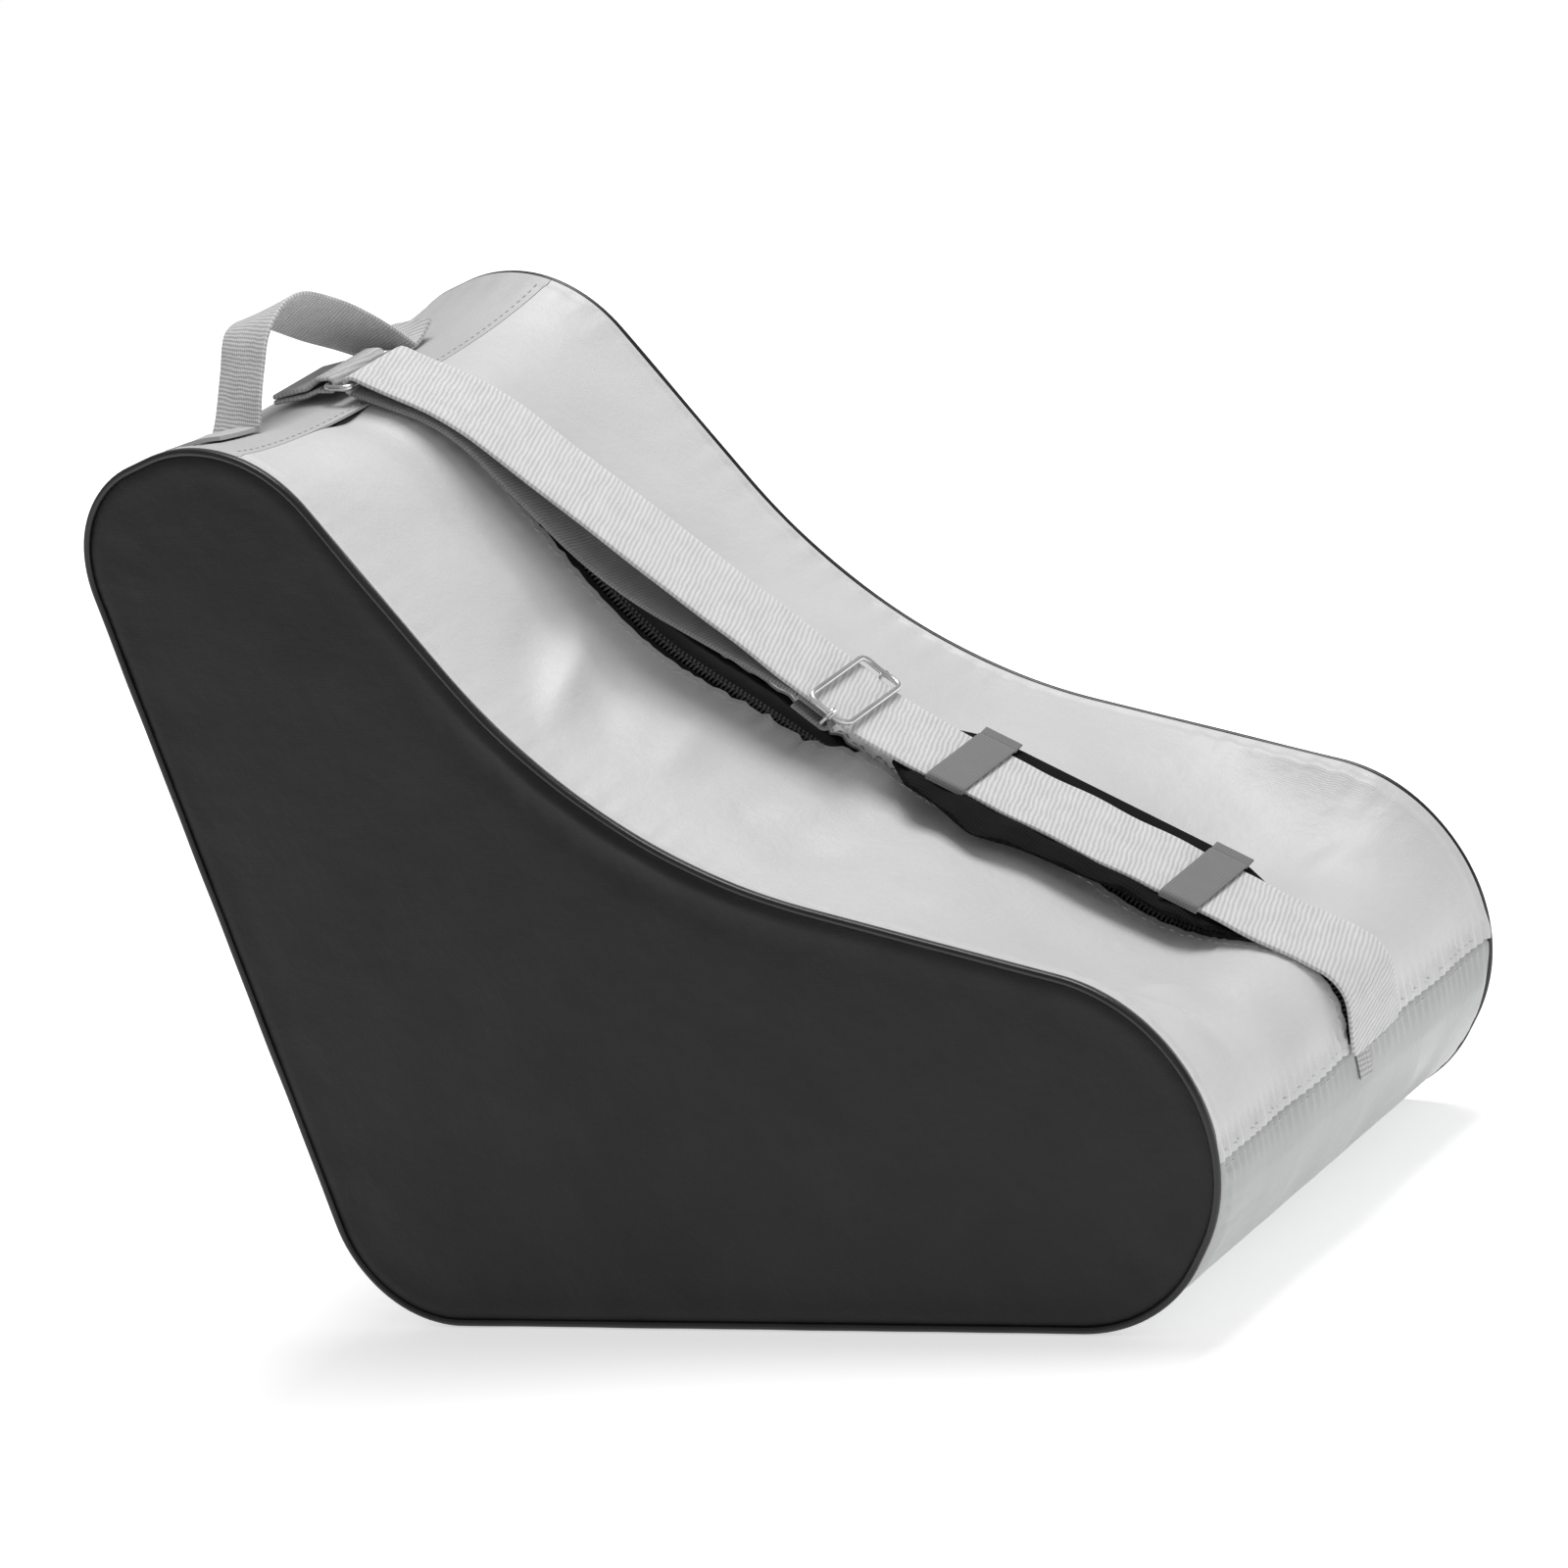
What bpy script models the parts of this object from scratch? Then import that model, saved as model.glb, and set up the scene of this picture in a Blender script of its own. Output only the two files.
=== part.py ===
"""Skate bag: a stiffened boot-shaped fabric case with a zipped front, a carry handle and a shoulder strap.

Metres. +X runs towards the toe, +Y towards the left side panel and +Z up.
The origin is on the floor, under the middle of the bag's length and width.
"Right" is the -Y side and "left" the +Y side.
"""

from math import atan2, ceil, cos, pi, radians, sin, tan

import bmesh
import bpy
from mathutils import Matrix, Vector

# ---------------------------------------------------------------- sizes

WIDTH = 0.196  # over both pipings

# The side outline over the piping: each corner's x, z and fillet radius.
HEEL_X, HEEL_RADIUS = -0.1518, 0.042
SOLE_X, SOLE_RADIUS = 0.1552, 0.059
TOE_X, TOE_Z, TOE_RADIUS = 0.2292, 0.098, 0.059
VALLEY_X, VALLEY_Z, VALLEY_RADIUS = -0.0168, 0.166, 0.210
CREST_X, CREST_Z, CREST_RADIUS = -0.1188, 0.318, 0.052
BACK_X, BACK_DROP, BACK_RADIUS = -0.1968, 0.024, 0.039

GAP = 0.0003  # between pieces that touch
SKIN = 0.0010  # coated nylon
LINING = 0.0008
FOAM = 0.0040  # stiffening pad inside each side panel
PIPING_RADIUS = 0.0016
SKIN_INSET = 0.0012  # gusset face below the piping's crown
PANEL_SINK = 0.0010  # side panel face inside the piping's crown
BINDING_WIDTH, BINDING_THICKNESS = 0.0080, 0.0008
BOARD_THICKNESS, BOARD_CORNER = 0.0025, 0.012
BOARD_MARGIN = 0.0020  # base board short of the flat base at each end

# Dents of the soft gusset between the pipings: depth, and reach along the outline both ways.
TOE_DENT, TOE_DENT_FROM_SEAM = 0.0225, 0.0790
TOE_DENT_TO_SEAM, TOE_DENT_TO_VALLEY = 0.0640, 0.0900
VALLEY_DENT, VALLEY_DENT_REACH = -0.0040, 0.0550  # stands proud there
CREST_DENT, CREST_DENT_FRONT, CREST_DENT_BACK = 0.0090, 0.0700, 0.0600
DENT_POWER = 3  # how square the dent is across the bag

TOE_SEAM_ANGLE = -7.0  # degrees round the toe fillet, from its foremost point
TOP_SEAM_FROM_CREST = 0.0205  # along the outline, in front of the highest point
HEEL_SEAM_UP = 0.0300  # base gusset's rear seam above the heel fillet

ZIP_OPENING = 0.0045  # half the gap between the front panels
ZIP_TAPE, ZIP_TAPE_WIDTH = 0.0006, 0.0120
ZIP_COIL_WIDTH, ZIP_COIL_HEIGHT = 0.0018, 0.0016
ZIP_END = 0.0030  # coil's end short of each seam
ZIP_STOP = 0.0025
ZIP_TAB_LENGTH, ZIP_TAB_WIDTH, ZIP_TAB = 0.0110, 0.0080, 0.0007

SLIDER_LENGTH, SLIDER_WIDTH, SLIDER_HEIGHT = 0.0085, 0.0080, 0.0016
SLIDER_FROM_STRAIGHT = 0.0280  # up the straight slope from the valley's curve
PULL_LENGTH, PULL_WIDTH, PULL_THICKNESS = 0.0160, 0.0050, 0.0010
PULL_EYE = 0.0028
EYE_WIRE = 0.0005
SLIDER_CORNER, PULL_CORNER = 0.0020, 0.0004

STRAP_WIDTH, STRAP = 0.0345, 0.0016
STRAP_YAW = 2.3  # degrees, the toe end towards +Y
STRAP_X, STRAP_Y = 0.0280, 0.0035  # where its centre line is turned
# Strap's route: height over the dented gusset at four places along the outline.
CREST_BEND_FROM_CREST, CREST_BEND_HEIGHT, CREST_BEND_RADIUS = 0.0500, 0.0085, 0.100
PAD_BEND_FROM_SEAM, PAD_BEND_HEIGHT, PAD_BEND_RADIUS = 0.2020, 0.0172, 0.120
DENT_BEND_FROM_SEAM, DENT_BEND_HEIGHT, DENT_BEND_RADIUS = 0.0590, 0.0060, 0.030
NOSE_BEND_FROM_SEAM, NOSE_BEND_HEIGHT, NOSE_BEND_RADIUS = 0.0240, 0.0075, 0.014
TOE_END_HEIGHT = 0.0020

RING_WIRE = 0.0011  # radius
RING_LENGTH = 0.0100  # between its long bars' centres
RING_FROM_SEAM = 0.0065  # front bar behind the top seam
RING_LIFT = 0.0026  # over the doubled webbing that lies under it
TAB_WIDTH, TAB_LENGTH, TAB_END_HEIGHT = STRAP_WIDTH - 0.0015, 0.0260, 0.0015  # webbing that holds the ring
RING_PLAY = 0.0010  # between the front bar and the strap's loop
RING_CORNER = 0.0020
RETURN_SAG = 0.0090  # doubled webbing below the strap
RETURN_RADIUS, RETURN_TOP_RADIUS = 0.150, 0.060
RETURN_CLEARANCE = 0.0010  # more than the gap, under the crest bend

GLIDE_WIRE = 0.0011
GLIDE_LENGTH = 0.0160
GLIDE_SIDE = 0.0018  # side bar's centre beyond the strap's edge
GLIDE_FROM_BEND = 0.0048  # its middle above the end of the pad bend
GLIDE_CORNER, BAR_CORNER = 0.0030, 0.0015
FOLD_TAIL = 0.0120

PAD_LENGTH, PAD_WIDTH, PAD_THICKNESS = 0.1300, 0.0500, 0.0042
PAD_END_WIDTH, PAD_TAPER, PAD_CORNER = 0.0300, 0.0200, 0.0080
PAD_FROM_BEND = 0.0720  # pad's middle below the pad bend
BAND_WIDTH, BAND, BAND_SPACING = 0.0140, 0.0008, 0.0870
BAND_CLEARANCE, BAND_CORNER = 0.0007, 0.0006

HANDLE_WIDTH, HANDLE = 0.0250, 0.0016
HANDLE_FROM_CREST = 0.0120  # behind the highest point
HANDLE_RIGHT, HANDLE_LEFT = 0.0545, 0.0360  # legs from the middle
HANDLE_LEAN = 9.0  # degrees that the loop leans to the toe from square to the crest
# The loop's two upper corners: across the bag, height over the crest, and fillet radius.
HANDLE_KNEE_Y, HANDLE_KNEE_Z, HANDLE_KNEE_RADIUS = -0.0325, 0.0320, 0.0080
HANDLE_TOP_Y, HANDLE_TOP_Z, HANDLE_TOP_RADIUS = -0.0120, 0.0320, 0.0200
HANDLE_ROOT_RIGHT, HANDLE_ROOT_LEFT = 0.0090, 0.0145  # length of leg that bends as the loop swings
HANDLE_HINGE = 0.0090  # height over the crest that the loop swings about
HANDLE_END = 0.0220  # sewn flat beyond each leg
SEWN_GAP = 0.0008  # under webbing that is sewn flat on the curved crest

ARC_STEP, SHEET_STEP = 0.0110, 0.0140
STRAP_STEP, HANDLE_STEP, BAND_STEP = 0.0070, 0.0040, 0.0005  # along a bend
WRAP_STEPS, EYE_STEPS = 8, 8

# Colour, roughness and, where it is metal, how metallic
BLACK_NYLON = ((0.030, 0.030, 0.033), 0.45)
BLACK_PIPING = ((0.030, 0.030, 0.033), 0.25)
BLACK_TAPE = ((0.030, 0.030, 0.033), 0.65)
SILVER_NYLON = ((0.560, 0.565, 0.570), 0.38)
LINING_CLOTH = ((0.050, 0.050, 0.055), 0.80)
WHITE_FOAM = ((0.500, 0.500, 0.500), 0.90)
FIBRE_BOARD = ((0.080, 0.080, 0.080), 0.60)
PALE_WEBBING = ((0.660, 0.660, 0.660), 0.75)
GREY_WEBBING = ((0.350, 0.350, 0.355), 0.75)
GREY_BAND = ((0.350, 0.350, 0.355), 0.45)
HANDLE_WEBBING = ((0.420, 0.420, 0.420), 0.80)
STEEL = ((0.700, 0.700, 0.710), 0.30, 1.0)
BLACK_METAL = ((0.060, 0.060, 0.065), 0.35, 0.8)

# ---------------------------------------------------------------- outline


def corner_arc(before, corner, after, radius):
    """(centre, radius, first angle, turn) of a corner's fillet. The turn is negative at a hollow corner."""
    to_before = (before - corner).normalized()
    to_after = (after - corner).normalized()
    half = to_before.angle(to_after) / 2
    centre = corner + (to_before + to_after).normalized() * radius / sin(half)
    start = corner + to_before * radius / tan(half) - centre
    end = corner + to_after * radius / tan(half) - centre
    turn = atan2(start.x * end.y - start.y * end.x, start.dot(end))
    return centre, radius, atan2(start.y, start.x), turn


class Route:
    """A line of straight runs joined by fillets in the XZ plane, read by the distance along it."""

    def __init__(self, corners, closed):
        points = [Vector(corner[:2]) for corner in corners]
        count = len(points)
        self.runs = []
        arcs = []
        for i in range(count) if closed else range(1, count - 1):
            arcs.append(corner_arc(points[i - 1], points[i], points[(i + 1) % count], corners[i][2]))
        last = self.arc_point(arcs[-1], 1.0) if closed else points[0]
        for arc in arcs:
            self.add_line(last, self.arc_point(arc, 0.0))
            self.runs.append((abs(arc[3]) * arc[1], "arc", arc))
            last = self.arc_point(arc, 1.0)
        if not closed:
            self.add_line(last, points[-1])
        self.length = sum(run[0] for run in self.runs)

    def add_line(self, start, end):
        self.runs.append(((end - start).length, "line", (start, end)))

    @staticmethod
    def arc_point(arc, share):
        centre, radius, first, turn = arc
        angle = first + turn * share
        return centre + radius * Vector((cos(angle), sin(angle)))

    def at(self, distance):
        """(point, outward normal) there; outward is to the right of the way along."""
        for length, kind, shape in self.runs:
            if distance <= length or (length, kind, shape) == self.runs[-1]:
                break
            distance -= length
        if kind == "line":
            along = (shape[1] - shape[0]).normalized()
            return shape[0] + along * distance, Vector((along.y, -along.x))
        centre, radius, first, turn = shape
        point = self.arc_point(shape, distance / length)
        side = 1.0 if turn > 0 else -1.0
        return point, side * (point - centre).normalized()

    def starts(self):
        """Distance at which each run starts."""
        found = []
        distance = 0.0
        for length, _, _ in self.runs:
            found.append(distance)
            distance += length
        return found

    def stations(self, start, end, arc_step, line_step):
        """Distances from start to end, with every run's ends, and steps no longer than these."""
        marks = [start, end]
        for turn in (-1, 0, 1):
            marks += [turn * self.length + first for first in self.starts()]
        marks = sorted(mark for mark in marks if start <= mark <= end)
        found = [start]
        for first, last in zip(marks, marks[1:]):
            if last - first < 1e-6:
                continue
            middle = ((first + last) / 2) % self.length
            kind = self.kind_at(middle)
            pieces = ceil((last - first) / (arc_step if kind == "arc" else line_step))
            found += [first + (last - first) * (i + 1) / pieces for i in range(pieces)]
        return found

    def kind_at(self, distance):
        for length, kind, _ in self.runs:
            if distance <= length:
                return kind
            distance -= length
        return kind


OUTLINE = Route(
    (
        (HEEL_X, 0.0, HEEL_RADIUS),
        (SOLE_X, 0.0, SOLE_RADIUS),
        (TOE_X, TOE_Z, TOE_RADIUS),
        (VALLEY_X, VALLEY_Z, VALLEY_RADIUS),
        (CREST_X, CREST_Z, CREST_RADIUS),
        (BACK_X, CREST_Z - BACK_DROP, BACK_RADIUS),
    ),
    closed=True,
)
RUN = OUTLINE.starts()
# Runs of the outline, in its order
HEEL_ARC, BASE_LINE, SOLE_ARC, TOE_ARC, VALLEY_ARC, SLOPE_LINE, CREST_ARC = 1, 2, 3, 5, 7, 8, 9


def arc_station(run, angle):
    """Distance along the outline to where this arc's outward normal has this angle."""
    length, _, (_, _, first, turn) = OUTLINE.runs[run]
    return RUN[run] + length * ((angle - first) % (2 * pi)) / turn


TOE_SEAM = arc_station(TOE_ARC, radians(TOE_SEAM_ANGLE))
CREST = arc_station(CREST_ARC, pi / 2)  # highest point
TOP_SEAM = CREST - TOP_SEAM_FROM_CREST
HEEL_SEAM = RUN[HEEL_ARC] - HEEL_SEAM_UP
VALLEY_MIDDLE = (RUN[VALLEY_ARC] + RUN[SLOPE_LINE]) / 2

HALF = WIDTH / 2
GUSSET_HALF = HALF - 2 * PIPING_RADIUS - GAP
PANEL_INSET = 2 * PIPING_RADIUS + GAP
PANEL_FACE = HALF - PANEL_SINK
FOAM_FACE = PANEL_FACE - SKIN - GAP
SIDE_LINING_FACE = FOAM_FACE - FOAM - GAP
BINDING_FACE = SIDE_LINING_FACE - LINING - GAP
LINING_INSET = SKIN_INSET + SKIN + 3 * GAP
INSIDE_INSET = LINING_INSET + LINING + GAP
DENT_HALF = BINDING_FACE


def bell(distance, centre, before, after):
    reach = before if distance < centre else after
    share = abs(distance - centre) / reach
    return cos(share * pi / 2) ** 2 if share < 1 else 0.0


def dent(distance, y):
    """Depth of the gusset below the outline."""
    depth = TOE_DENT * bell(distance, TOE_SEAM + TOE_DENT_FROM_SEAM, TOE_DENT_TO_SEAM, TOE_DENT_TO_VALLEY)
    depth += VALLEY_DENT * bell(distance, VALLEY_MIDDLE, VALLEY_DENT_REACH, VALLEY_DENT_REACH)
    depth += CREST_DENT * bell(distance, CREST, CREST_DENT_FRONT, CREST_DENT_BACK)
    return depth * max(0.0, 1 - (abs(y) / DENT_HALF) ** DENT_POWER)


def over(distance, height, y=0.0):
    """The XZ point at a height above the gusset's dented face."""
    point, normal = OUTLINE.at(distance % OUTLINE.length)
    return point + normal * (height - SKIN_INSET - dent(distance, y))


# ---------------------------------------------------------------- building

for old in list(bpy.data.objects):
    bpy.data.objects.remove(old, do_unlink=True)

BAG = bpy.data.collections.new("skate_bag")
CUTTERS = bpy.data.collections.new("cutters")
CUTTERS.hide_render = True
for collection in (BAG, CUTTERS):
    bpy.context.scene.collection.children.link(collection)

STANDING = Matrix.Rotation(pi / 2, 4, "X")  # a flat XY outline stood up in the XZ plane


def material(name, colour, roughness, metallic=0.0):
    made = bpy.data.materials.new(name)
    made.use_nodes = True
    shader = made.node_tree.nodes["Principled BSDF"]
    shader.inputs["Base Color"].default_value = (*colour, 1.0)
    shader.inputs["Roughness"].default_value = roughness
    shader.inputs["Metallic"].default_value = metallic
    return made


def add(name, data, look, place=Matrix(), parent=None):
    piece = bpy.data.objects.new(name, data)
    BAG.objects.link(piece)
    if parent is not None:
        piece.parent = parent
    piece.matrix_basis = place
    data.materials.append(material(name, *look))
    return piece


def empty(name, place, parent=None):
    found = bpy.data.objects.new(name, None)
    BAG.objects.link(found)
    found.parent = parent
    found.matrix_basis = place
    found.empty_display_size = 0.02
    return found


def spline(curve, points, cyclic):
    line = curve.splines.new("POLY")
    line.points.add(len(points) - 1)
    for point, place in zip(line.points, points):
        point.co = (*place, *([0.0] * (3 - len(place))), 1.0)
    line.use_cyclic_u = cyclic


def plate(name, outlines, thickness, look, place=Matrix(), parent=None):
    """A flat outline, with any holes after it, thick along its own Z and centred on it."""
    curve = bpy.data.curves.new(name, "CURVE")
    curve.dimensions = "2D"
    curve.fill_mode = "BOTH"
    curve.extrude = thickness / 2
    for points in outlines:
        spline(curve, points, True)
    return add(name, curve, look, place, parent)


def wire(name, points, radius, look, place=Matrix(), parent=None, cyclic=True):
    curve = bpy.data.curves.new(name, "CURVE")
    curve.dimensions = "3D"
    curve.bevel_depth = radius
    curve.bevel_resolution = 2
    curve.use_fill_caps = not cyclic
    spline(curve, points, cyclic)
    return add(name, curve, look, place, parent)


def sheet(name, start, end, low_y, high_y, rows, inset, thickness, look):
    """A piece of the gusset: between two distances along the outline and two sides, below the outline."""
    stations = OUTLINE.stations(start, end, ARC_STEP, SHEET_STEP)
    low_dent = max(low_y, -DENT_HALF)
    high_dent = min(high_y, DENT_HALF)
    inner = [low_dent + (high_dent - low_dent) * row / rows for row in range(1, rows)]
    across = sorted({low_y, low_dent, *inner, high_dent, high_y})
    vertices = []
    for distance in stations:
        point, normal = OUTLINE.at(distance % OUTLINE.length)
        for y in across:
            place = point - normal * (inset + dent(distance, y))
            vertices.append((place.x, y, place.y))
    faces = []
    for i in range(len(stations) - 1):
        for j in range(len(across) - 1):
            first = i * len(across) + j
            faces.append((first, first + 1, first + len(across) + 1, first + len(across)))
    mesh = bpy.data.meshes.new(name)
    mesh.from_pydata(vertices, [], faces)
    piece = add(name, mesh, look)
    shell = piece.modifiers.new("thickness", "SOLIDIFY")
    shell.thickness = thickness
    shell.offset = -1.0
    shell.use_even_offset = True
    return piece


def side_outline(inset):
    """The closed side outline moved inwards."""
    stations = OUTLINE.stations(0.0, OUTLINE.length, ARC_STEP, OUTLINE.length)[:-1]
    points = []
    for distance in stations:
        point, normal = OUTLINE.at(distance)
        points.append(point - normal * inset)
    return points


def side_plate(name, side, insets, face, thickness, look):
    """A layer of a side: its outer face is this far from the middle."""
    place = Matrix.Translation((0, side * (face - thickness / 2), 0)) @ STANDING
    return plate(name, [side_outline(inset) for inset in insets], thickness, look, place)


def ribbon(route, thickness, step, start=0.0, end=None):
    """A flat outline that follows a route, or a part of it, at its middle, with this thickness."""
    stations = route.stations(start, route.length if end is None else end, step, route.length)
    above = []
    below = []
    for distance in stations:
        point, normal = route.at(distance)
        above.append(point + normal * thickness / 2)
        below.append(point - normal * thickness / 2)
    return above + below[::-1]


def rounded(corners, radius, closed=True):
    route = Route([(*corner, radius) for corner in corners], closed)
    stations = route.stations(0.0, route.length, radius * 0.6, route.length)
    points = [route.at(distance)[0] for distance in stations]
    return points[:-1] if closed else points


def rectangle(length, width):
    x = length / 2
    y = width / 2
    return [(-x, -y), (x, -y), (x, y), (-x, y)]


# ---------------------------------------------------------------- sides

for side, word in ((-1, "right"), (1, "left")):
    side_plate(f"side_panel_{word}", side, [PANEL_INSET], PANEL_FACE, SKIN, BLACK_NYLON)
    side_plate(f"side_foam_{word}", side, [PANEL_INSET], FOAM_FACE, FOAM, WHITE_FOAM)
    side_plate(f"side_lining_{word}", side, [PANEL_INSET], SIDE_LINING_FACE, LINING, LINING_CLOTH)
    edges = [INSIDE_INSET + SKIN, INSIDE_INSET + SKIN + BINDING_WIDTH]
    side_plate(f"seam_binding_{word}", side, edges, BINDING_FACE, BINDING_THICKNESS, BLACK_TAPE)
    track = [(point.x, 0.0, point.y) for point in side_outline(PIPING_RADIUS)]
    middle = Matrix.Translation((0, side * (HALF - PIPING_RADIUS), 0))
    wire(f"piping_{word}", track, PIPING_RADIUS, BLACK_PIPING, middle)

# ---------------------------------------------------------------- gusset

BACK_END = HEEL_SEAM + OUTLINE.length
LINING_END = TOE_SEAM + OUTLINE.length
ACROSS_BAG = (-GUSSET_HALF, GUSSET_HALF)
sheet("base_gusset", HEEL_SEAM, TOE_SEAM - GAP, *ACROSS_BAG, 1, SKIN_INSET, SKIN, SILVER_NYLON)
sheet("back_gusset", TOP_SEAM, BACK_END - GAP, *ACROSS_BAG, 6, SKIN_INSET, SKIN, SILVER_NYLON)
ACROSS_LINING = (-DENT_HALF, DENT_HALF)
sheet("gusset_lining", TOP_SEAM, LINING_END, *ACROSS_LINING, 6, LINING_INSET, LINING, LINING_CLOTH)

board_start = OUTLINE.at(RUN[BASE_LINE])[0].x + BOARD_MARGIN
board_end = OUTLINE.at(RUN[SOLE_ARC])[0].x - BOARD_MARGIN
board_width = 2 * (BINDING_FACE - BINDING_THICKNESS - GAP)
board_place = Matrix.Translation(((board_start + board_end) / 2, 0, INSIDE_INSET + BOARD_THICKNESS / 2))
board_corners = rounded(rectangle(board_end - board_start, board_width), BOARD_CORNER)
plate("base_board", [board_corners], BOARD_THICKNESS, FIBRE_BOARD, board_place)

# ---------------------------------------------------------------- zipped front

ZIP_START = TOE_SEAM + ZIP_END
ZIP_FINISH = TOP_SEAM - ZIP_END
TAPE_INSET = SKIN_INSET + SKIN + 2 * GAP

for side, word in ((-1, "right"), (1, "left")):
    edges = sorted((side * ZIP_OPENING, side * GUSSET_HALF))
    sheet(f"front_panel_{word}", TOE_SEAM, TOP_SEAM - GAP, *edges, 5, SKIN_INSET, SKIN, SILVER_NYLON)
    inner = GAP / 2 + ZIP_COIL_WIDTH + GAP
    edges = sorted((side * inner, side * (inner + ZIP_TAPE_WIDTH)))
    sheet(f"zip_tape_{word}", ZIP_START, ZIP_FINISH, *edges, 1, TAPE_INSET, ZIP_TAPE, BLACK_TAPE)
    edges = sorted((side * GAP / 2, side * (GAP / 2 + ZIP_COIL_WIDTH)))
    coil_start = ZIP_START + ZIP_STOP + GAP
    coil_finish = ZIP_FINISH - ZIP_STOP - GAP
    sheet(f"zip_coil_{word}", coil_start, coil_finish, *edges, 1, SKIN_INSET, ZIP_COIL_HEIGHT, BLACK_TAPE)

stop_half = GAP / 2 + ZIP_COIL_WIDTH
edges = (-stop_half, stop_half)
for word, start in (("bottom", ZIP_START), ("top", ZIP_FINISH - ZIP_STOP)):
    sheet(f"zip_stop_{word}", start, start + ZIP_STOP, *edges, 1, SKIN_INSET, ZIP_COIL_HEIGHT, STEEL)

edges = (-ZIP_TAB_WIDTH / 2, ZIP_TAB_WIDTH / 2)
tab_start = TOE_SEAM - ZIP_TAB_LENGTH
tab_inset = SKIN_INSET - GAP - ZIP_TAB
sheet("zip_end_tab", tab_start, TOE_SEAM - GAP, *edges, 1, tab_inset, ZIP_TAB, GREY_WEBBING)


def frame_at(origin, along, y=0.0):
    """A place whose X runs along an XZ direction, whose Y is the bag's and whose Z points outwards."""
    axis_x = Vector((along.x, 0, along.y))
    axis_y = Vector((0, 1, 0))
    axis_z = axis_x.cross(axis_y)
    turn = Matrix((axis_x, axis_y, axis_z)).transposed().to_4x4()
    return Matrix.Translation((origin.x, y, origin.y)) @ turn


# The slider rides on the coil's face. Its X points down the slope.
slider_station = RUN[SLOPE_LINE] + SLIDER_FROM_STRAIGHT
down_slope = (OUTLINE.at(RUN[SLOPE_LINE])[0] - OUTLINE.at(RUN[SLOPE_LINE + 1] - GAP)[0]).normalized()
slider_frame = empty("slider_frame", frame_at(over(slider_station, GAP), down_slope))
EYE_HEIGHT = 1.5 * PULL_THICKNESS + 4 * GAP
eye_reach = PULL_THICKNESS + 2 * GAP + EYE_WIRE
eye_points = []
for i in range(EYE_STEPS + 1):
    angle = pi * i / EYE_STEPS
    eye_z = SLIDER_HEIGHT - EYE_WIRE + (EYE_HEIGHT + EYE_WIRE) * sin(angle)
    eye_points.append((eye_reach * cos(angle), 0.0, eye_z))


def as_mesh(piece):
    """The same object, as a closed mesh that a Boolean can use."""
    bpy.context.view_layer.update()
    graph = bpy.context.evaluated_depsgraph_get()
    mesh = bpy.data.meshes.new_from_object(piece.evaluated_get(graph))
    joined = welded(mesh)
    name = piece.name
    look = piece.data.materials[0]
    parent = piece.parent
    place = piece.matrix_basis.copy()
    bpy.data.objects.remove(piece, do_unlink=True)
    made = bpy.data.objects.new(name, joined)
    BAG.objects.link(made)
    made.parent = parent
    made.matrix_basis = place
    joined.materials.clear()
    joined.materials.append(look)
    return made


def welded(mesh):
    """The mesh with a curve's loose caps joined to its sides."""
    work = bmesh.new()
    work.from_mesh(mesh)
    bmesh.ops.remove_doubles(work, verts=work.verts, dist=1e-6)
    bmesh.ops.recalc_face_normals(work, faces=work.faces)
    work.to_mesh(mesh)
    work.free()
    return mesh


def unite(piece, other):
    """Joins another object to a piece and keeps the other as a hidden guide."""
    joint = piece.modifiers.new("union", "BOOLEAN")
    joint.operation = "UNION"
    joint.object = other
    BAG.objects.unlink(other)
    CUTTERS.objects.link(other)
    other.hide_render = True
    other.display_type = "WIRE"


slider_corners = rounded(rectangle(SLIDER_LENGTH, SLIDER_WIDTH), SLIDER_CORNER)
slider_place = Matrix.Translation((0, 0, SLIDER_HEIGHT / 2))
slider = plate("zip_slider", [slider_corners], SLIDER_HEIGHT, BLACK_METAL, slider_place, slider_frame)
slider = as_mesh(slider)
eye = wire("zip_slider_eye", eye_points, EYE_WIRE, BLACK_METAL, Matrix(), slider_frame, cyclic=False)
unite(slider, as_mesh(eye))

# The pull hangs in the eye by the bar at its own root, which is what it swings about.
pull_height = SLIDER_HEIGHT + 2 * GAP + PULL_THICKNESS / 2
pull_frame = empty("pull_frame", Matrix.Translation((0, 0, pull_height)), slider_frame)
pull_shift = (PULL_LENGTH - PULL_THICKNESS) / 2
hole_shift = (PULL_EYE + PULL_THICKNESS) / 2
pull_outer = [(x + pull_shift, y) for x, y in rounded(rectangle(PULL_LENGTH, PULL_WIDTH), PULL_CORNER)]
pull_hole = [(x + hole_shift, y) for x, y in rectangle(PULL_EYE, PULL_EYE)]
plate("zip_pull", [pull_outer, pull_hole], PULL_THICKNESS, BLACK_METAL, Matrix(), pull_frame)

# ---------------------------------------------------------------- shoulder strap

BAR_HEIGHT = RING_LIFT + STRAP + RING_PLAY + RING_WIRE  # ring bars above the gusset
RING_FRONT = TOP_SEAM + RING_FROM_SEAM
STRAP_WRAP = RING_WIRE + RING_PLAY + STRAP / 2  # webbing's middle round the front bar
TAB_WRAP = RING_WIRE + GAP + STRAP / 2  # and round the rear bar

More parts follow.
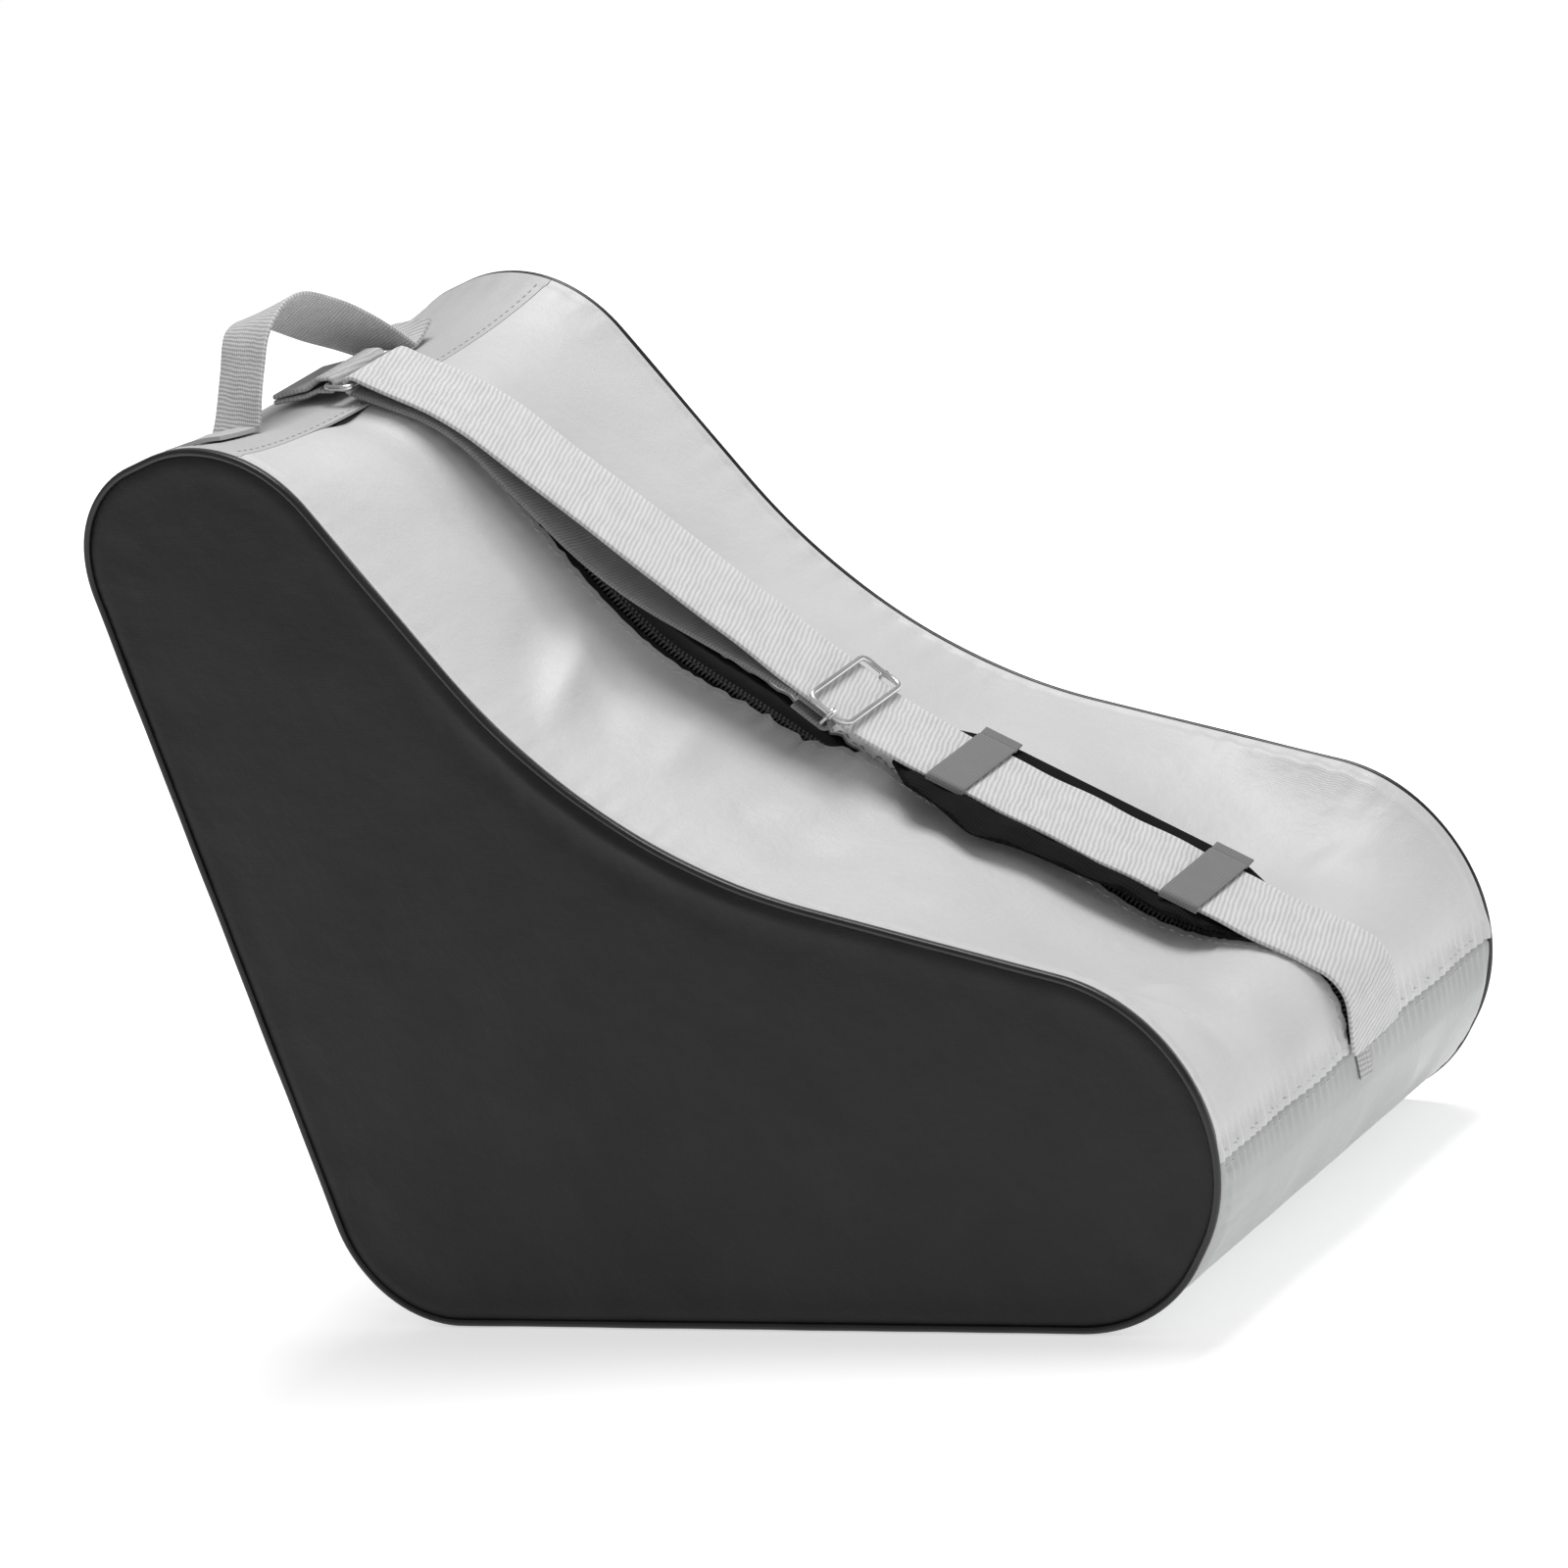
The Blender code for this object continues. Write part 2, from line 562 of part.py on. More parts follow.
front_bar = over(RING_FRONT, BAR_HEIGHT)
crest_bend = over(CREST - CREST_BEND_FROM_CREST, CREST_BEND_HEIGHT)
pad_bend = over(TOE_SEAM + PAD_BEND_FROM_SEAM, PAD_BEND_HEIGHT)
dent_bend = over(TOE_SEAM + DENT_BEND_FROM_SEAM, DENT_BEND_HEIGHT)
nose_bend = over(TOE_SEAM + NOSE_BEND_FROM_SEAM, NOSE_BEND_HEIGHT)
toe_end = over(TOE_SEAM + GAP, TOE_END_HEIGHT)

strap_turn = Matrix.Translation((STRAP_X, STRAP_Y, 0)) @ Matrix.Rotation(radians(STRAP_YAW), 4, "Z")
strap_frame = empty("strap_frame", strap_turn @ Matrix.Translation((-STRAP_X, 0, 0)))


def turned(vector, angle):
    x = vector.x * cos(angle) - vector.y * sin(angle)
    y = vector.x * sin(angle) + vector.y * cos(angle)
    return Vector((x, y))


# Round the ring's front bar: over the top, behind it and back underneath.
leaving = (crest_bend - front_bar).normalized()
upper_start = front_bar + turned(leaving, pi / 2) * STRAP_WRAP
lower_start = front_bar - turned(leaving, pi / 2) * STRAP_WRAP
wrap_inner = []
wrap_outer = []
for i in range(WRAP_STEPS + 1):
    away = turned(leaving, pi / 2 + pi * i / WRAP_STEPS)
    wrap_inner.append(front_bar + away * (STRAP_WRAP - STRAP / 2))
    wrap_outer.append(front_bar + away * (STRAP_WRAP + STRAP / 2))

strap_route = Route(
    (
        (*toe_end, 0),
        (*nose_bend, NOSE_BEND_RADIUS),
        (*dent_bend, DENT_BEND_RADIUS),
        (*pad_bend, PAD_BEND_RADIUS),
        (*crest_bend, CREST_BEND_RADIUS),
        (*upper_start, 0),
    ),
    closed=False,
)
strap_line = ribbon(strap_route, STRAP, STRAP_STEP)
half_way = len(strap_line) // 2
strap_outline = strap_line[:half_way] + wrap_outer[1:] + wrap_inner[:0:-1] + strap_line[half_way:]
plate("shoulder_strap", [strap_outline], STRAP_WIDTH, PALE_WEBBING, STANDING, strap_frame)

# The tri-glide stands over the straight run between the two upper bends.
pad_down = (dent_bend - pad_bend).normalized()
strap_down = (pad_bend - crest_bend).normalized()
pad_bend_reach = PAD_BEND_RADIUS * tan(pad_down.angle(strap_down) / 2)
glide_middle = pad_bend - strap_down * (pad_bend_reach + GLIDE_FROM_BEND)
glide_frame = empty("glide_frame", frame_at(glide_middle, strap_down), strap_frame)
glide_top = STRAP / 2 + GAP + GLIDE_WIRE
glide_half = STRAP_WIDTH / 2 + GLIDE_SIDE
glide_track = [(x, y, glide_top) for x, y in rounded(rectangle(GLIDE_LENGTH, 2 * glide_half), GLIDE_CORNER)]
wire("triglide_frame", glide_track, GLIDE_WIRE, STEEL, Matrix(), glide_frame)
bar_depth = STRAP / 2 + GAP + STRAP + GAP + GLIDE_WIRE
bar_end = glide_top - 2 * GLIDE_WIRE - GAP
bar_corners = [
    (-glide_half, bar_end),
    (-glide_half, -bar_depth),
    (glide_half, -bar_depth),
    (glide_half, bar_end),
]
bar_track = [(0.0, y, z) for y, z in rounded(bar_corners, BAR_CORNER, closed=False)]
wire("triglide_bar", bar_track, GLIDE_WIRE, STEEL, Matrix(), glide_frame, cyclic=False)

# Doubled webbing: its end is folded round the tri-glide's bar and sewn back on itself.
fold_middle = Vector((0.0, -bar_depth))
fold_above = []
fold_below = []
glide_wrap = GLIDE_WIRE + GAP + STRAP / 2
for i in range(WRAP_STEPS + 1):
    away = turned(Vector((0.0, 1.0)), -pi * i / WRAP_STEPS)
    fold_above.append(fold_middle + away * (glide_wrap - STRAP / 2))
    fold_below.append(fold_middle + away * (glide_wrap + STRAP / 2))
tail = Vector((-FOLD_TAIL, 0.0))
fold_line = [fold_above[0] + tail] + fold_above + [fold_above[-1] + tail]
fold_back = [fold_below[-1] + tail] + fold_below[::-1] + [fold_below[0] + tail]
plate("strap_fold", [fold_line + fold_back], STRAP_WIDTH, PALE_WEBBING, STANDING, glide_frame)

fold_end = glide_middle - strap_down * (FOLD_TAIL + GAP)
strap_under = turned(strap_down, -pi / 2)
return_end = fold_end + strap_under * (bar_depth - glide_wrap)
under_crest = (strap_under + turned(leaving, -pi / 2)).normalized()
bend_under = crest_bend + under_crest * (STRAP + GAP + RETURN_CLEARANCE)
return_middle = (crest_bend + return_end) / 2 + strap_under * RETURN_SAG
return_start = lower_start + leaving * GAP
return_route = Route(
    (
        (*return_end, 0),
        (*return_middle, RETURN_RADIUS),
        (*bend_under, RETURN_TOP_RADIUS),
        (*return_start, 0),
    ),
    closed=False,
)
return_line = ribbon(return_route, STRAP, STRAP_STEP)
plate("strap_return", [return_line], STRAP_WIDTH, PALE_WEBBING, STANDING, strap_frame)

# ---------------------------------------------------------------- strap ring and its tab

# The ring lies over the crest, its front bar in the strap's loop and its rear bar in the tab's.
rear_bar = over(RING_FRONT + RING_LENGTH, BAR_HEIGHT)
ring_along = (front_bar - rear_bar).normalized()
ring_length = (front_bar - rear_bar).length
ring_frame = empty("ring_frame", frame_at(rear_bar, ring_along), strap_frame)
ring_width = STRAP_WIDTH + 4 * GAP + 2 * RING_WIRE
ring_corners = rounded(rectangle(ring_length, ring_width), RING_CORNER)
ring_track = [(x + ring_length / 2, y, 0.0) for x, y in ring_corners]
wire("strap_ring", ring_track, RING_WIRE, STEEL, Matrix(), ring_frame)

# The tab folds round the rear bar, and its two layers are sewn together behind it.
tab_place = frame_at(rear_bar, ring_along).inverted()
tab_tip = over(RING_FRONT + RING_LENGTH + TAB_LENGTH, TAB_END_HEIGHT)
tab_local = tab_place @ Vector((tab_tip.x, 0, tab_tip.y))
tab_end = Vector((tab_local.x, tab_local.z))
tab_outer = [tab_end]
tab_hollow = [Vector((-2 * TAB_WRAP, 0.0))]
for i in range(WRAP_STEPS + 1):
    away = turned(Vector((0.0, -1.0)), pi * i / WRAP_STEPS)
    tab_outer.append(away * (TAB_WRAP + STRAP / 2))
    tab_hollow.append(away * (TAB_WRAP - STRAP / 2))
tab_outer.append(tab_end + Vector((0.0, 2 * STRAP)))
plate("ring_tab", [tab_outer, tab_hollow], TAB_WIDTH, GREY_WEBBING, STANDING, ring_frame)

# ---------------------------------------------------------------- shoulder pad

pad_middle = pad_bend + pad_down * PAD_FROM_BEND
pad_frame = empty("pad_frame", frame_at(pad_middle, pad_down), strap_frame)
pad_half = PAD_LENGTH / 2
pad_corners = [
    (-pad_half, -PAD_END_WIDTH / 2),
    (-pad_half + PAD_TAPER, -PAD_WIDTH / 2),
    (pad_half - PAD_TAPER, -PAD_WIDTH / 2),
    (pad_half, -PAD_END_WIDTH / 2),
    (pad_half, PAD_END_WIDTH / 2),
    (pad_half - PAD_TAPER, PAD_WIDTH / 2),
    (-pad_half + PAD_TAPER, PAD_WIDTH / 2),
    (-pad_half, PAD_END_WIDTH / 2),
]
pad_top = -STRAP / 2 - GAP
pad_place = Matrix.Translation((0, 0, pad_top - PAD_THICKNESS / 2))
plate("shoulder_pad", [rounded(pad_corners, PAD_CORNER)], PAD_THICKNESS, BLACK_TAPE, pad_place, pad_frame)

band_low = pad_top + GAP + BAND / 2
band_high = STRAP / 2 + BAND_CLEARANCE + BAND / 2
band_knee = STRAP_WIDTH / 2 + BAND_CLEARANCE + BAND / 2
band_route = Route(
    (
        (-PAD_WIDTH / 2, band_low, 0),
        (-band_knee, band_low, BAND_CORNER),
        (-band_knee, band_high, BAND_CORNER),
        (band_knee, band_high, BAND_CORNER),
        (band_knee, band_low, BAND_CORNER),
        (PAD_WIDTH / 2, band_low, 0),
    ),
    closed=False,
)
band_line = ribbon(band_route, BAND, BAND_STEP)
ACROSS = Matrix.Rotation(pi / 2, 4, "Z") @ STANDING  # a flat XY outline stood up in the YZ plane
for way, word in ((-1, "upper"), (1, "lower")):
    band_place = Matrix.Translation((way * BAND_SPACING / 2, 0, 0)) @ ACROSS
    plate(f"pad_band_{word}", [band_line], BAND_WIDTH, GREY_BAND, band_place, pad_frame)

# ---------------------------------------------------------------- carry handle

HANDLE_STATION = CREST + HANDLE_FROM_CREST
handle_start = HANDLE_STATION - HANDLE_WIDTH / 2
handle_finish = HANDLE_STATION + HANDLE_WIDTH / 2
handle_inset = SKIN_INSET - SEWN_GAP - HANDLE
handle_ends = (handle_start, handle_finish)
for side, word, leg in ((-1, "right", HANDLE_RIGHT), (1, "left", HANDLE_LEFT)):
    edges = sorted((side * (leg + GAP + HANDLE), side * (leg + HANDLE_END)))
    sheet(f"handle_end_{word}", *handle_ends, *edges, 2, handle_inset, HANDLE, HANDLE_WEBBING)

handle_normal = OUTLINE.at(HANDLE_STATION)[1]
handle_along = Vector((handle_normal.y, -handle_normal.x))
handle_place = frame_at(over(HANDLE_STATION, 0.0, HANDLE_RIGHT), handle_along)
handle_frame = empty("handle_frame", handle_place @ Matrix.Rotation(radians(HANDLE_LEAN), 4, "Y"))
empty("handle_hinge", Matrix.Translation((0, 0, HANDLE_HINGE)), handle_frame)
leg_foot = SEWN_GAP + HANDLE / 2
left_foot = leg_foot + dent(HANDLE_STATION, HANDLE_RIGHT) - dent(HANDLE_STATION, HANDLE_LEFT)
handle_route = Route(
    (
        (-HANDLE_RIGHT, leg_foot, 0),
        (HANDLE_KNEE_Y, HANDLE_KNEE_Z, HANDLE_KNEE_RADIUS),
        (HANDLE_TOP_Y, HANDLE_TOP_Z, HANDLE_TOP_RADIUS),
        (HANDLE_LEFT, left_foot, 0),
    ),
    closed=False,
)
left_root = handle_route.length - HANDLE_ROOT_LEFT
for name, start, end in (
    ("handle_root_right", 0.0, HANDLE_ROOT_RIGHT),
    ("handle_loop", HANDLE_ROOT_RIGHT + GAP, left_root - GAP),
    ("handle_root_left", left_root, handle_route.length),
):
    handle_line = ribbon(handle_route, HANDLE, HANDLE_STEP, start, end)
    plate(name, [handle_line], HANDLE_WIDTH, HANDLE_WEBBING, ACROSS, handle_frame)
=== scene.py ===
"""Skate bag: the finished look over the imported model. Metres, +X to the toe, +Y to the left, +Z up."""

from math import atan2, cos, pi, radians, sin, tan

import bmesh
import bpy
import numpy as np
from mathutils import Matrix, Vector, geometry


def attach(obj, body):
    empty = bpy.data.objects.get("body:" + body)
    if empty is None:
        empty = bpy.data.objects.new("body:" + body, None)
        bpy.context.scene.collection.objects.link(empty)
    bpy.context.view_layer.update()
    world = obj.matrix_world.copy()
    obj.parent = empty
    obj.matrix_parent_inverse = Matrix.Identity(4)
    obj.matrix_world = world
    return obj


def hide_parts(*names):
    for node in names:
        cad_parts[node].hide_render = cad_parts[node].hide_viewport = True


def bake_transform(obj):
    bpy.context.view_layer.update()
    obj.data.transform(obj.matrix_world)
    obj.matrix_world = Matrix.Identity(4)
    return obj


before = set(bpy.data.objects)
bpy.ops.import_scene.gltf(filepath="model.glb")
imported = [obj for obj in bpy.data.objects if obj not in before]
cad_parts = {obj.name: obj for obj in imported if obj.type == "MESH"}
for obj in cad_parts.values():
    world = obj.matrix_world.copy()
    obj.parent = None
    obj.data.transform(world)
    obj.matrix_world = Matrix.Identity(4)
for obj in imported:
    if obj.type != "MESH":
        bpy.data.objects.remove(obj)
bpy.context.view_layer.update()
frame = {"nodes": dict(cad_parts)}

# ---- sizes

WIDTH = 0.196
HALF = WIDTH / 2
CORNERS = (  # the side outline: x, z and fillet radius
    (-0.1518, 0.0, 0.042),
    (0.1552, 0.0, 0.059),
    (0.2292, 0.098, 0.059),
    (-0.0168, 0.166, 0.210),
    (-0.1188, 0.318, 0.052),
    (-0.1968, 0.294, 0.039),
)
GAP = 0.0003
SKIN = 0.0010
PIPING_RADIUS = 0.0016
SKIN_INSET = 0.0012
PANEL_INSET = 2 * PIPING_RADIUS + GAP
PANEL_FACE = HALF - 0.0010
GUSSET_HALF = HALF - 2 * PIPING_RADIUS - GAP
CLOTH_HALF = GUSSET_HALF + 0.0005  # laid over part of the piping
DENT_HALF = 0.0903
ZIP_OPENING = 0.0045
STRAP_WIDTH, STRAP = 0.0345, 0.0016
RING_WIRE, GLIDE_WIRE = 0.0011, 0.0011
CLOTH = 0.0009

# ---- routes


def corner_arc(before, corner, after, radius):
    to_before = (before - corner).normalized()
    to_after = (after - corner).normalized()
    half = to_before.angle(to_after) / 2
    centre = corner + (to_before + to_after).normalized() * radius / sin(half)
    start = corner + to_before * radius / tan(half) - centre
    end = corner + to_after * radius / tan(half) - centre
    turn = atan2(start.x * end.y - start.y * end.x, start.dot(end))
    return centre, radius, atan2(start.y, start.x), turn


class Route:
    """Straight runs joined by fillets in a plane, read by the distance along it, as arrays."""

    STEP = 0.0004

    def __init__(self, corners, closed=False):
        points = [Vector(corner[:2]) for corner in corners]
        count = len(points)
        self.runs = []
        arcs = []
        for i in range(count) if closed else range(1, count - 1):
            arcs.append(corner_arc(points[i - 1], points[i], points[(i + 1) % count], corners[i][2]))
        last = self.arc_point(arcs[-1], 1.0) if closed else points[0]
        for arc in arcs:
            first = self.arc_point(arc, 0.0)
            self.runs.append(((first - last).length, "line", (last, first)))
            self.runs.append((abs(arc[3]) * arc[1], "arc", arc))
            last = self.arc_point(arc, 1.0)
        if not closed:
            self.runs.append(((points[-1] - last).length, "line", (last, points[-1])))
        self.starts = np.cumsum([0.0] + [run[0] for run in self.runs])
        self.length = float(self.starts[-1])
        rows = []
        for start, (length, kind, shape) in zip(self.starts, self.runs):
            steps = max(2, int(length / self.STEP))
            for i in range(steps + 1):
                share = i / steps
                if kind == "line":
                    along = (shape[1] - shape[0]).normalized()
                    point = shape[0].lerp(shape[1], share)
                    normal = Vector((along.y, -along.x))
                else:
                    point = self.arc_point(shape, share)
                    normal = (point - shape[0]).normalized() * (1 if shape[3] > 0 else -1)
                rows.append((start + length * share, point.x, point.y, normal.x, normal.y))
        self.table = np.array(rows)
        self.closed = closed

    @staticmethod
    def arc_point(arc, share):
        centre, radius, first, turn = arc
        angle = first + turn * share
        return centre + radius * Vector((cos(angle), sin(angle)))

    def at(self, distance):
        """(points, outward normals) at these distances."""
        distance = np.asarray(distance, float)
        if self.closed:
            distance = np.mod(distance, self.length)
        columns = [np.interp(distance, self.table[:, 0], self.table[:, i]) for i in range(1, 5)]
        return np.stack(columns[:2], -1), np.stack(columns[2:], -1)


OUTLINE = Route(CORNERS, closed=True)
HEEL_ARC, SOLE_ARC, TOE_ARC, VALLEY_ARC, SLOPE_LINE, CREST_ARC = 1, 3, 5, 7, 8, 9
RUN = OUTLINE.starts


def arc_station(run, angle):
    length, _, (_, _, first, turn) = OUTLINE.runs[run]
    return float(RUN[run] + length * ((angle - first) % (2 * pi)) / turn)


TOE_SEAM = arc_station(TOE_ARC, radians(-7.0))
CREST = arc_station(CREST_ARC, pi / 2)
TOP_SEAM = CREST - 0.0205
HEEL_SEAM = float(RUN[HEEL_ARC]) - 0.0300
ROUND = OUTLINE.length
VALLEY_MIDDLE = float(RUN[VALLEY_ARC] + RUN[SLOPE_LINE]) / 2


def bell(distance, centre, before, after):
    away = np.asarray(distance, float) - centre
    share = np.abs(away) / np.where(away < 0, before, after)
    return np.where(share < 1, np.cos(np.minimum(share, 1) * pi / 2) ** 2, 0.0)


DENTS = (  # depth, middle, and reach before and after it
    (0.0225, TOE_SEAM + 0.0790, 0.0640, 0.0900),
    (-0.0040, VALLEY_MIDDLE, 0.0550, 0.0550),  # stands proud there
    (0.0090, CREST, 0.0700, 0.0600),
)


def dent(distance, y):
    """Depth of the soft gusset below the outline, as the CAD model has it."""
    depth = sum(most * bell(distance, middle, before, after) for most, middle, before, after in DENTS)
    return depth * np.maximum(0.0, 1 - (np.abs(y) / DENT_HALF) ** 3)


def surface(distance, y, height):
    """Points of the bag at a height over the gusset's face."""
    distance, y, height = np.broadcast_arrays(distance, y, height)
    point, normal = OUTLINE.at(distance)
    lift = height - SKIN_INSET - dent(distance, y)
    return np.stack([point[..., 0] + normal[..., 0] * lift, y, point[..., 1] + normal[..., 1] * lift], -1)


def over(distance, height, y=0.0):
    """The XZ point at a height over the gusset."""
    place = surface(distance, y, height)
    return Vector((float(place[0]), float(place[2])))


# ---- materials


def grey(value, tint=(1.0, 1.0, 1.0)):
    return (*(value * part for part in tint), 1.0)


class Look:
    """A material's nodes, made one after another."""

    def __init__(self, name, light, roughness, tint=(1.0, 1.0, 1.0), **sockets):
        self.made = bpy.data.materials.new(name)
        self.made.use_nodes = True
        self.nodes = self.made.node_tree.nodes
        self.links = self.made.node_tree.links
        self.shader = self.nodes["Principled BSDF"]
        self.shader.inputs["Base Color"].default_value = grey(light, tint)
        self.shader.inputs["Roughness"].default_value = roughness
        for socket, value in sockets.items():
            self.shader.inputs[socket.replace("_", " ")].default_value = value

    def node(self, kind, settings=(), **inputs):
        made = self.nodes.new("ShaderNode" + kind)
        for key, value in dict(settings).items():
            setattr(made, key, value)
        for key, value in inputs.items():
            socket = made.inputs[int(key[1:])] if key[0] == "i" and key[1:].isdigit() else made.inputs[key]
            if isinstance(value, bpy.types.NodeSocket):
                self.links.new(value, socket)
            else:
                socket.default_value = value
        return made

    def math(self, operation, *values):
        made = self.node("Math", {"operation": operation})
        for socket, value in zip(made.inputs, values):
            if isinstance(value, bpy.types.NodeSocket):
                self.links.new(value, socket)
            else:
                socket.default_value = value
        return made.outputs[0]

    def cloth(self):
        """(along, across) in metres, as the mesh stores them."""
        read = self.node("Attribute", {"attribute_name": "cloth"})
        split = self.node("SeparateXYZ", i0=read.outputs["Vector"])
        return split.outputs[0], split.outputs[1]

    def place(self):
        return self.node("TexCoord").outputs["Object"]

    def noise(self, scale, detail=3.0, where=None, rough=0.5):
        made = self.node("TexNoise", Scale=scale, Detail=detail, Roughness=rough)
        self.links.new(where or self.place(), made.inputs["Vector"])
        return made.outputs["Fac"]

    def spread(self, value, low, high):
        """A value from 0 to 1 as one between low and high."""
        return self.node("MapRange", i0=value, i3=low, i4=high).outputs[0]

    def ramp(self, value, low, high, dark, light, tint=(1.0, 1.0, 1.0)):
        made = self.node("ValToRGB")
        made.color_ramp.elements[0].position = low
        made.color_ramp.elements[1].position = high
        made.color_ramp.elements[0].color = grey(dark, tint)
        made.color_ramp.elements[1].color = grey(light, tint)
        self.links.new(value, made.inputs[0])
        return made.outputs[0]

    def into(self, socket, value):
        self.links.new(value, self.shader.inputs[socket])

    def bump(self, height, distance, strength=1.0, under=None):
        made = self.node("Bump", Strength=strength, Distance=distance, Height=height)
        if under is not None:
            self.links.new(under, made.inputs["Normal"])
        return made.outputs[0]


def ridges(look, value, pitch):
    """A sine of a length, from 0 to 1."""
    turned = look.math("MULTIPLY", value, 2 * pi / pitch)
    return look.math("MULTIPLY_ADD", look.math("SINE", turned), 0.5, 0.5)


def nylon(name, dark, light, roughness, sheen, tint=(1.0, 1.0, 1.0)):
    """Coated plain-woven nylon: a fine weave, soft creases and a little colour change."""
    look = Look(name, light, roughness, tint, Sheen_Weight=sheen, Sheen_Roughness=0.45, IOR=1.5)
    along, across = look.cloth()
    weave = look.math("MULTIPLY", ridges(look, along, 0.00075), ridges(look, across, 0.00075))
    cloudy = look.noise(9.0, 4.0)
    fine = look.noise(420.0, 2.0)
    look.into("Base Color", look.ramp(cloudy, 0.30, 0.70, dark, light, tint))
    look.into("Roughness", look.spread(look.noise(45.0), roughness - 0.06, roughness + 0.08))
    creases = look.bump(look.noise(55.0, 5.0, rough=0.62), 0.0016, 0.5)
    mixed = look.math("MULTIPLY_ADD", fine, 0.35, weave)
    look.into("Normal", look.bump(mixed, 0.00010, 0.5, creases))
    return look.made


def webbing(name, dark, light, rib=0.00120, slant=0.22, depth=0.00030, sheen=0.15):
    """Woven strap: slanting ribs across, warp lines along and a fuzzy surface."""
    look = Look(name, light, 0.85, Sheen_Weight=sheen, Sheen_Roughness=0.6, IOR=1.40)
    if sheen == 0:
        look.shader.inputs["Specular IOR Level"].default_value = 0.12
    along, across = look.cloth()
    slanted = look.math("MULTIPLY_ADD", across, slant, along)
    wander = look.spread(look.noise(150.0), -0.0009, 0.0009)
    ribs = ridges(look, look.math("ADD", slanted, wander), rib)
    warp = ridges(look, look.math("ADD", across, look.spread(look.noise(90.0), -0.0003, 0.0003)), 0.00105)
    weave = look.math("MULTIPLY_ADD", warp, 0.42, look.math("MULTIPLY", ribs, 0.48))
    fuzz = look.noise(900.0, 2.0)
    height = look.math("MULTIPLY_ADD", fuzz, 0.22, weave)
    # Colour mixes random patches with the weave's relief: the patches are the webbing's own tone, the darker
    # grooves between the ribs are painted shade.
    patches_and_rib_shade = look.math("MULTIPLY_ADD", look.noise(160.0, 3.0), 0.30, look.math("MULTIPLY", height, 0.80))
    look.into("Base Color", look.ramp(patches_and_rib_shade, 0.28, 0.86, dark, light))
    look.into("Roughness", look.spread(fuzz, 0.74, 0.92))
    look.into("Normal", look.bump(height, depth, 0.75))
    return look.made


def metal(name, dark, light, roughness):
    look = Look(name, light, roughness, Metallic=1.0)
    worn = look.noise(60.0, 3.0)
    look.into("Base Color", look.ramp(worn, 0.35, 0.72, dark, light))
    look.into("Roughness", look.spread(worn, roughness - 0.08, roughness + 0.12))
    look.into("Normal", look.bump(look.noise(1500.0, 2.0), 0.00004, 0.4))
    return look.made


def plastic(name, dark, light, roughness, grain=700.0):
    look = Look(name, light, roughness, IOR=1.47)
    mottle = look.noise(60.0, 3.0)
    look.into("Base Color", look.ramp(mottle, 0.3, 0.7, dark, light))
    look.into("Roughness", look.spread(mottle, roughness - 0.07, roughness + 0.10))
    look.into("Normal", look.bump(look.noise(grain, 3.0), 0.00012, 0.5))
    return look.made


def thread(name, dark, light):
    """Twisted sewing thread."""
    look = Look(name, light, 0.6, Sheen_Weight=0.2)
    along, across = look.cloth()
    twist = ridges(look, look.math("ADD", along, across), 0.0006)
    # The colour follows the twist: the plies lighter, the grooves between them darker as painted shade.
    look.into("Base Color", look.ramp(twist, 0.1, 0.9, dark, light))
    look.into("Normal", look.bump(twist, 0.00008, 0.6))
    return look.made


SILVER = nylon("silver_nylon", 0.53, 0.60, 0.42, 0.08)
# The cap and back are the same silver nylon as the front, painted darker: painted shade over the top and back
# of the bag.
CAP_PAINTED_SHADE = nylon("silver_nylon_cap_painted_shade", 0.42, 0.48, 0.44, 0.08)
# The base is the same silver nylon as well, painted darker still with a faint green tint: painted shade for
# the underside round the toe.
BASE_CLOTH_PAINTED_SHADE = nylon("silver_nylon_base_painted_shade", 0.32, 0.38, 0.36, 0.05, tint=(0.96, 1.0, 0.98))
BLACK = nylon("black_nylon", 0.0060, 0.0095, 0.55, 0.02)
BLACK.node_tree.nodes["Principled BSDF"].inputs["Specular IOR Level"].default_value = 0.28
INNER = nylon("lining_cloth", 0.03, 0.05, 0.80, 0.0)
PIPING = plastic("piping_gloss", 0.005, 0.009, 0.34)
PALE = webbing("pale_webbing", 0.40, 0.70, rib=0.0017, slant=-0.30)
# The strap's lower layer and its fold in the tri-glide are the same pale webbing as the strap, painted
# darker: painted shade for the shadow under the strap.
RETURN_PAINTED_SHADE = webbing("return_webbing_painted_shade", 0.16, 0.32)
TAB = webbing("tab_webbing", 0.28, 0.54, rib=0.0017, slant=0.1)
HANDLE_CLOTH = webbing("handle_webbing", 0.30, 0.64, rib=0.0015, slant=0.3)
BAND_CLOTH = webbing("band_webbing", 0.135, 0.185, rib=0.0008, slant=0.0, depth=0.00010)
TAPE = webbing("zip_tape_cloth", 0.018, 0.055, rib=0.0009, slant=0.8, depth=0.0002, sheen=0.0)
PAD_CLOTH = webbing("pad_cloth", 0.004, 0.011, rib=0.0010, slant=0.0, depth=0.0002, sheen=0.0)
STEEL = metal("nickel_steel", 0.62, 0.80, 0.22)
DARK_METAL = metal("black_metal", 0.03, 0.09, 0.38)
COIL = plastic("coil_plastic", 0.060, 0.120, 0.42)
FOAM = plastic("foam_cells", 0.45, 0.55, 0.9, 400.0)
BOARD = plastic("board_fibre", 0.05, 0.09, 0.65, 300.0)
SILVER_THREAD = thread("silver_thread", 0.40, 0.54)
SEAM_THREAD = thread("seam_thread", 0.48, 0.58)

# ---- meshes


def piece(name, mesh, look, body, *nodes, slot=None):
    made = bpy.data.objects.new(name, mesh)
    bpy.context.scene.collection.objects.link(made)
    mesh.materials.append(look)
    if body:
        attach(made, body)
    if nodes:
        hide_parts(*nodes)
    return made


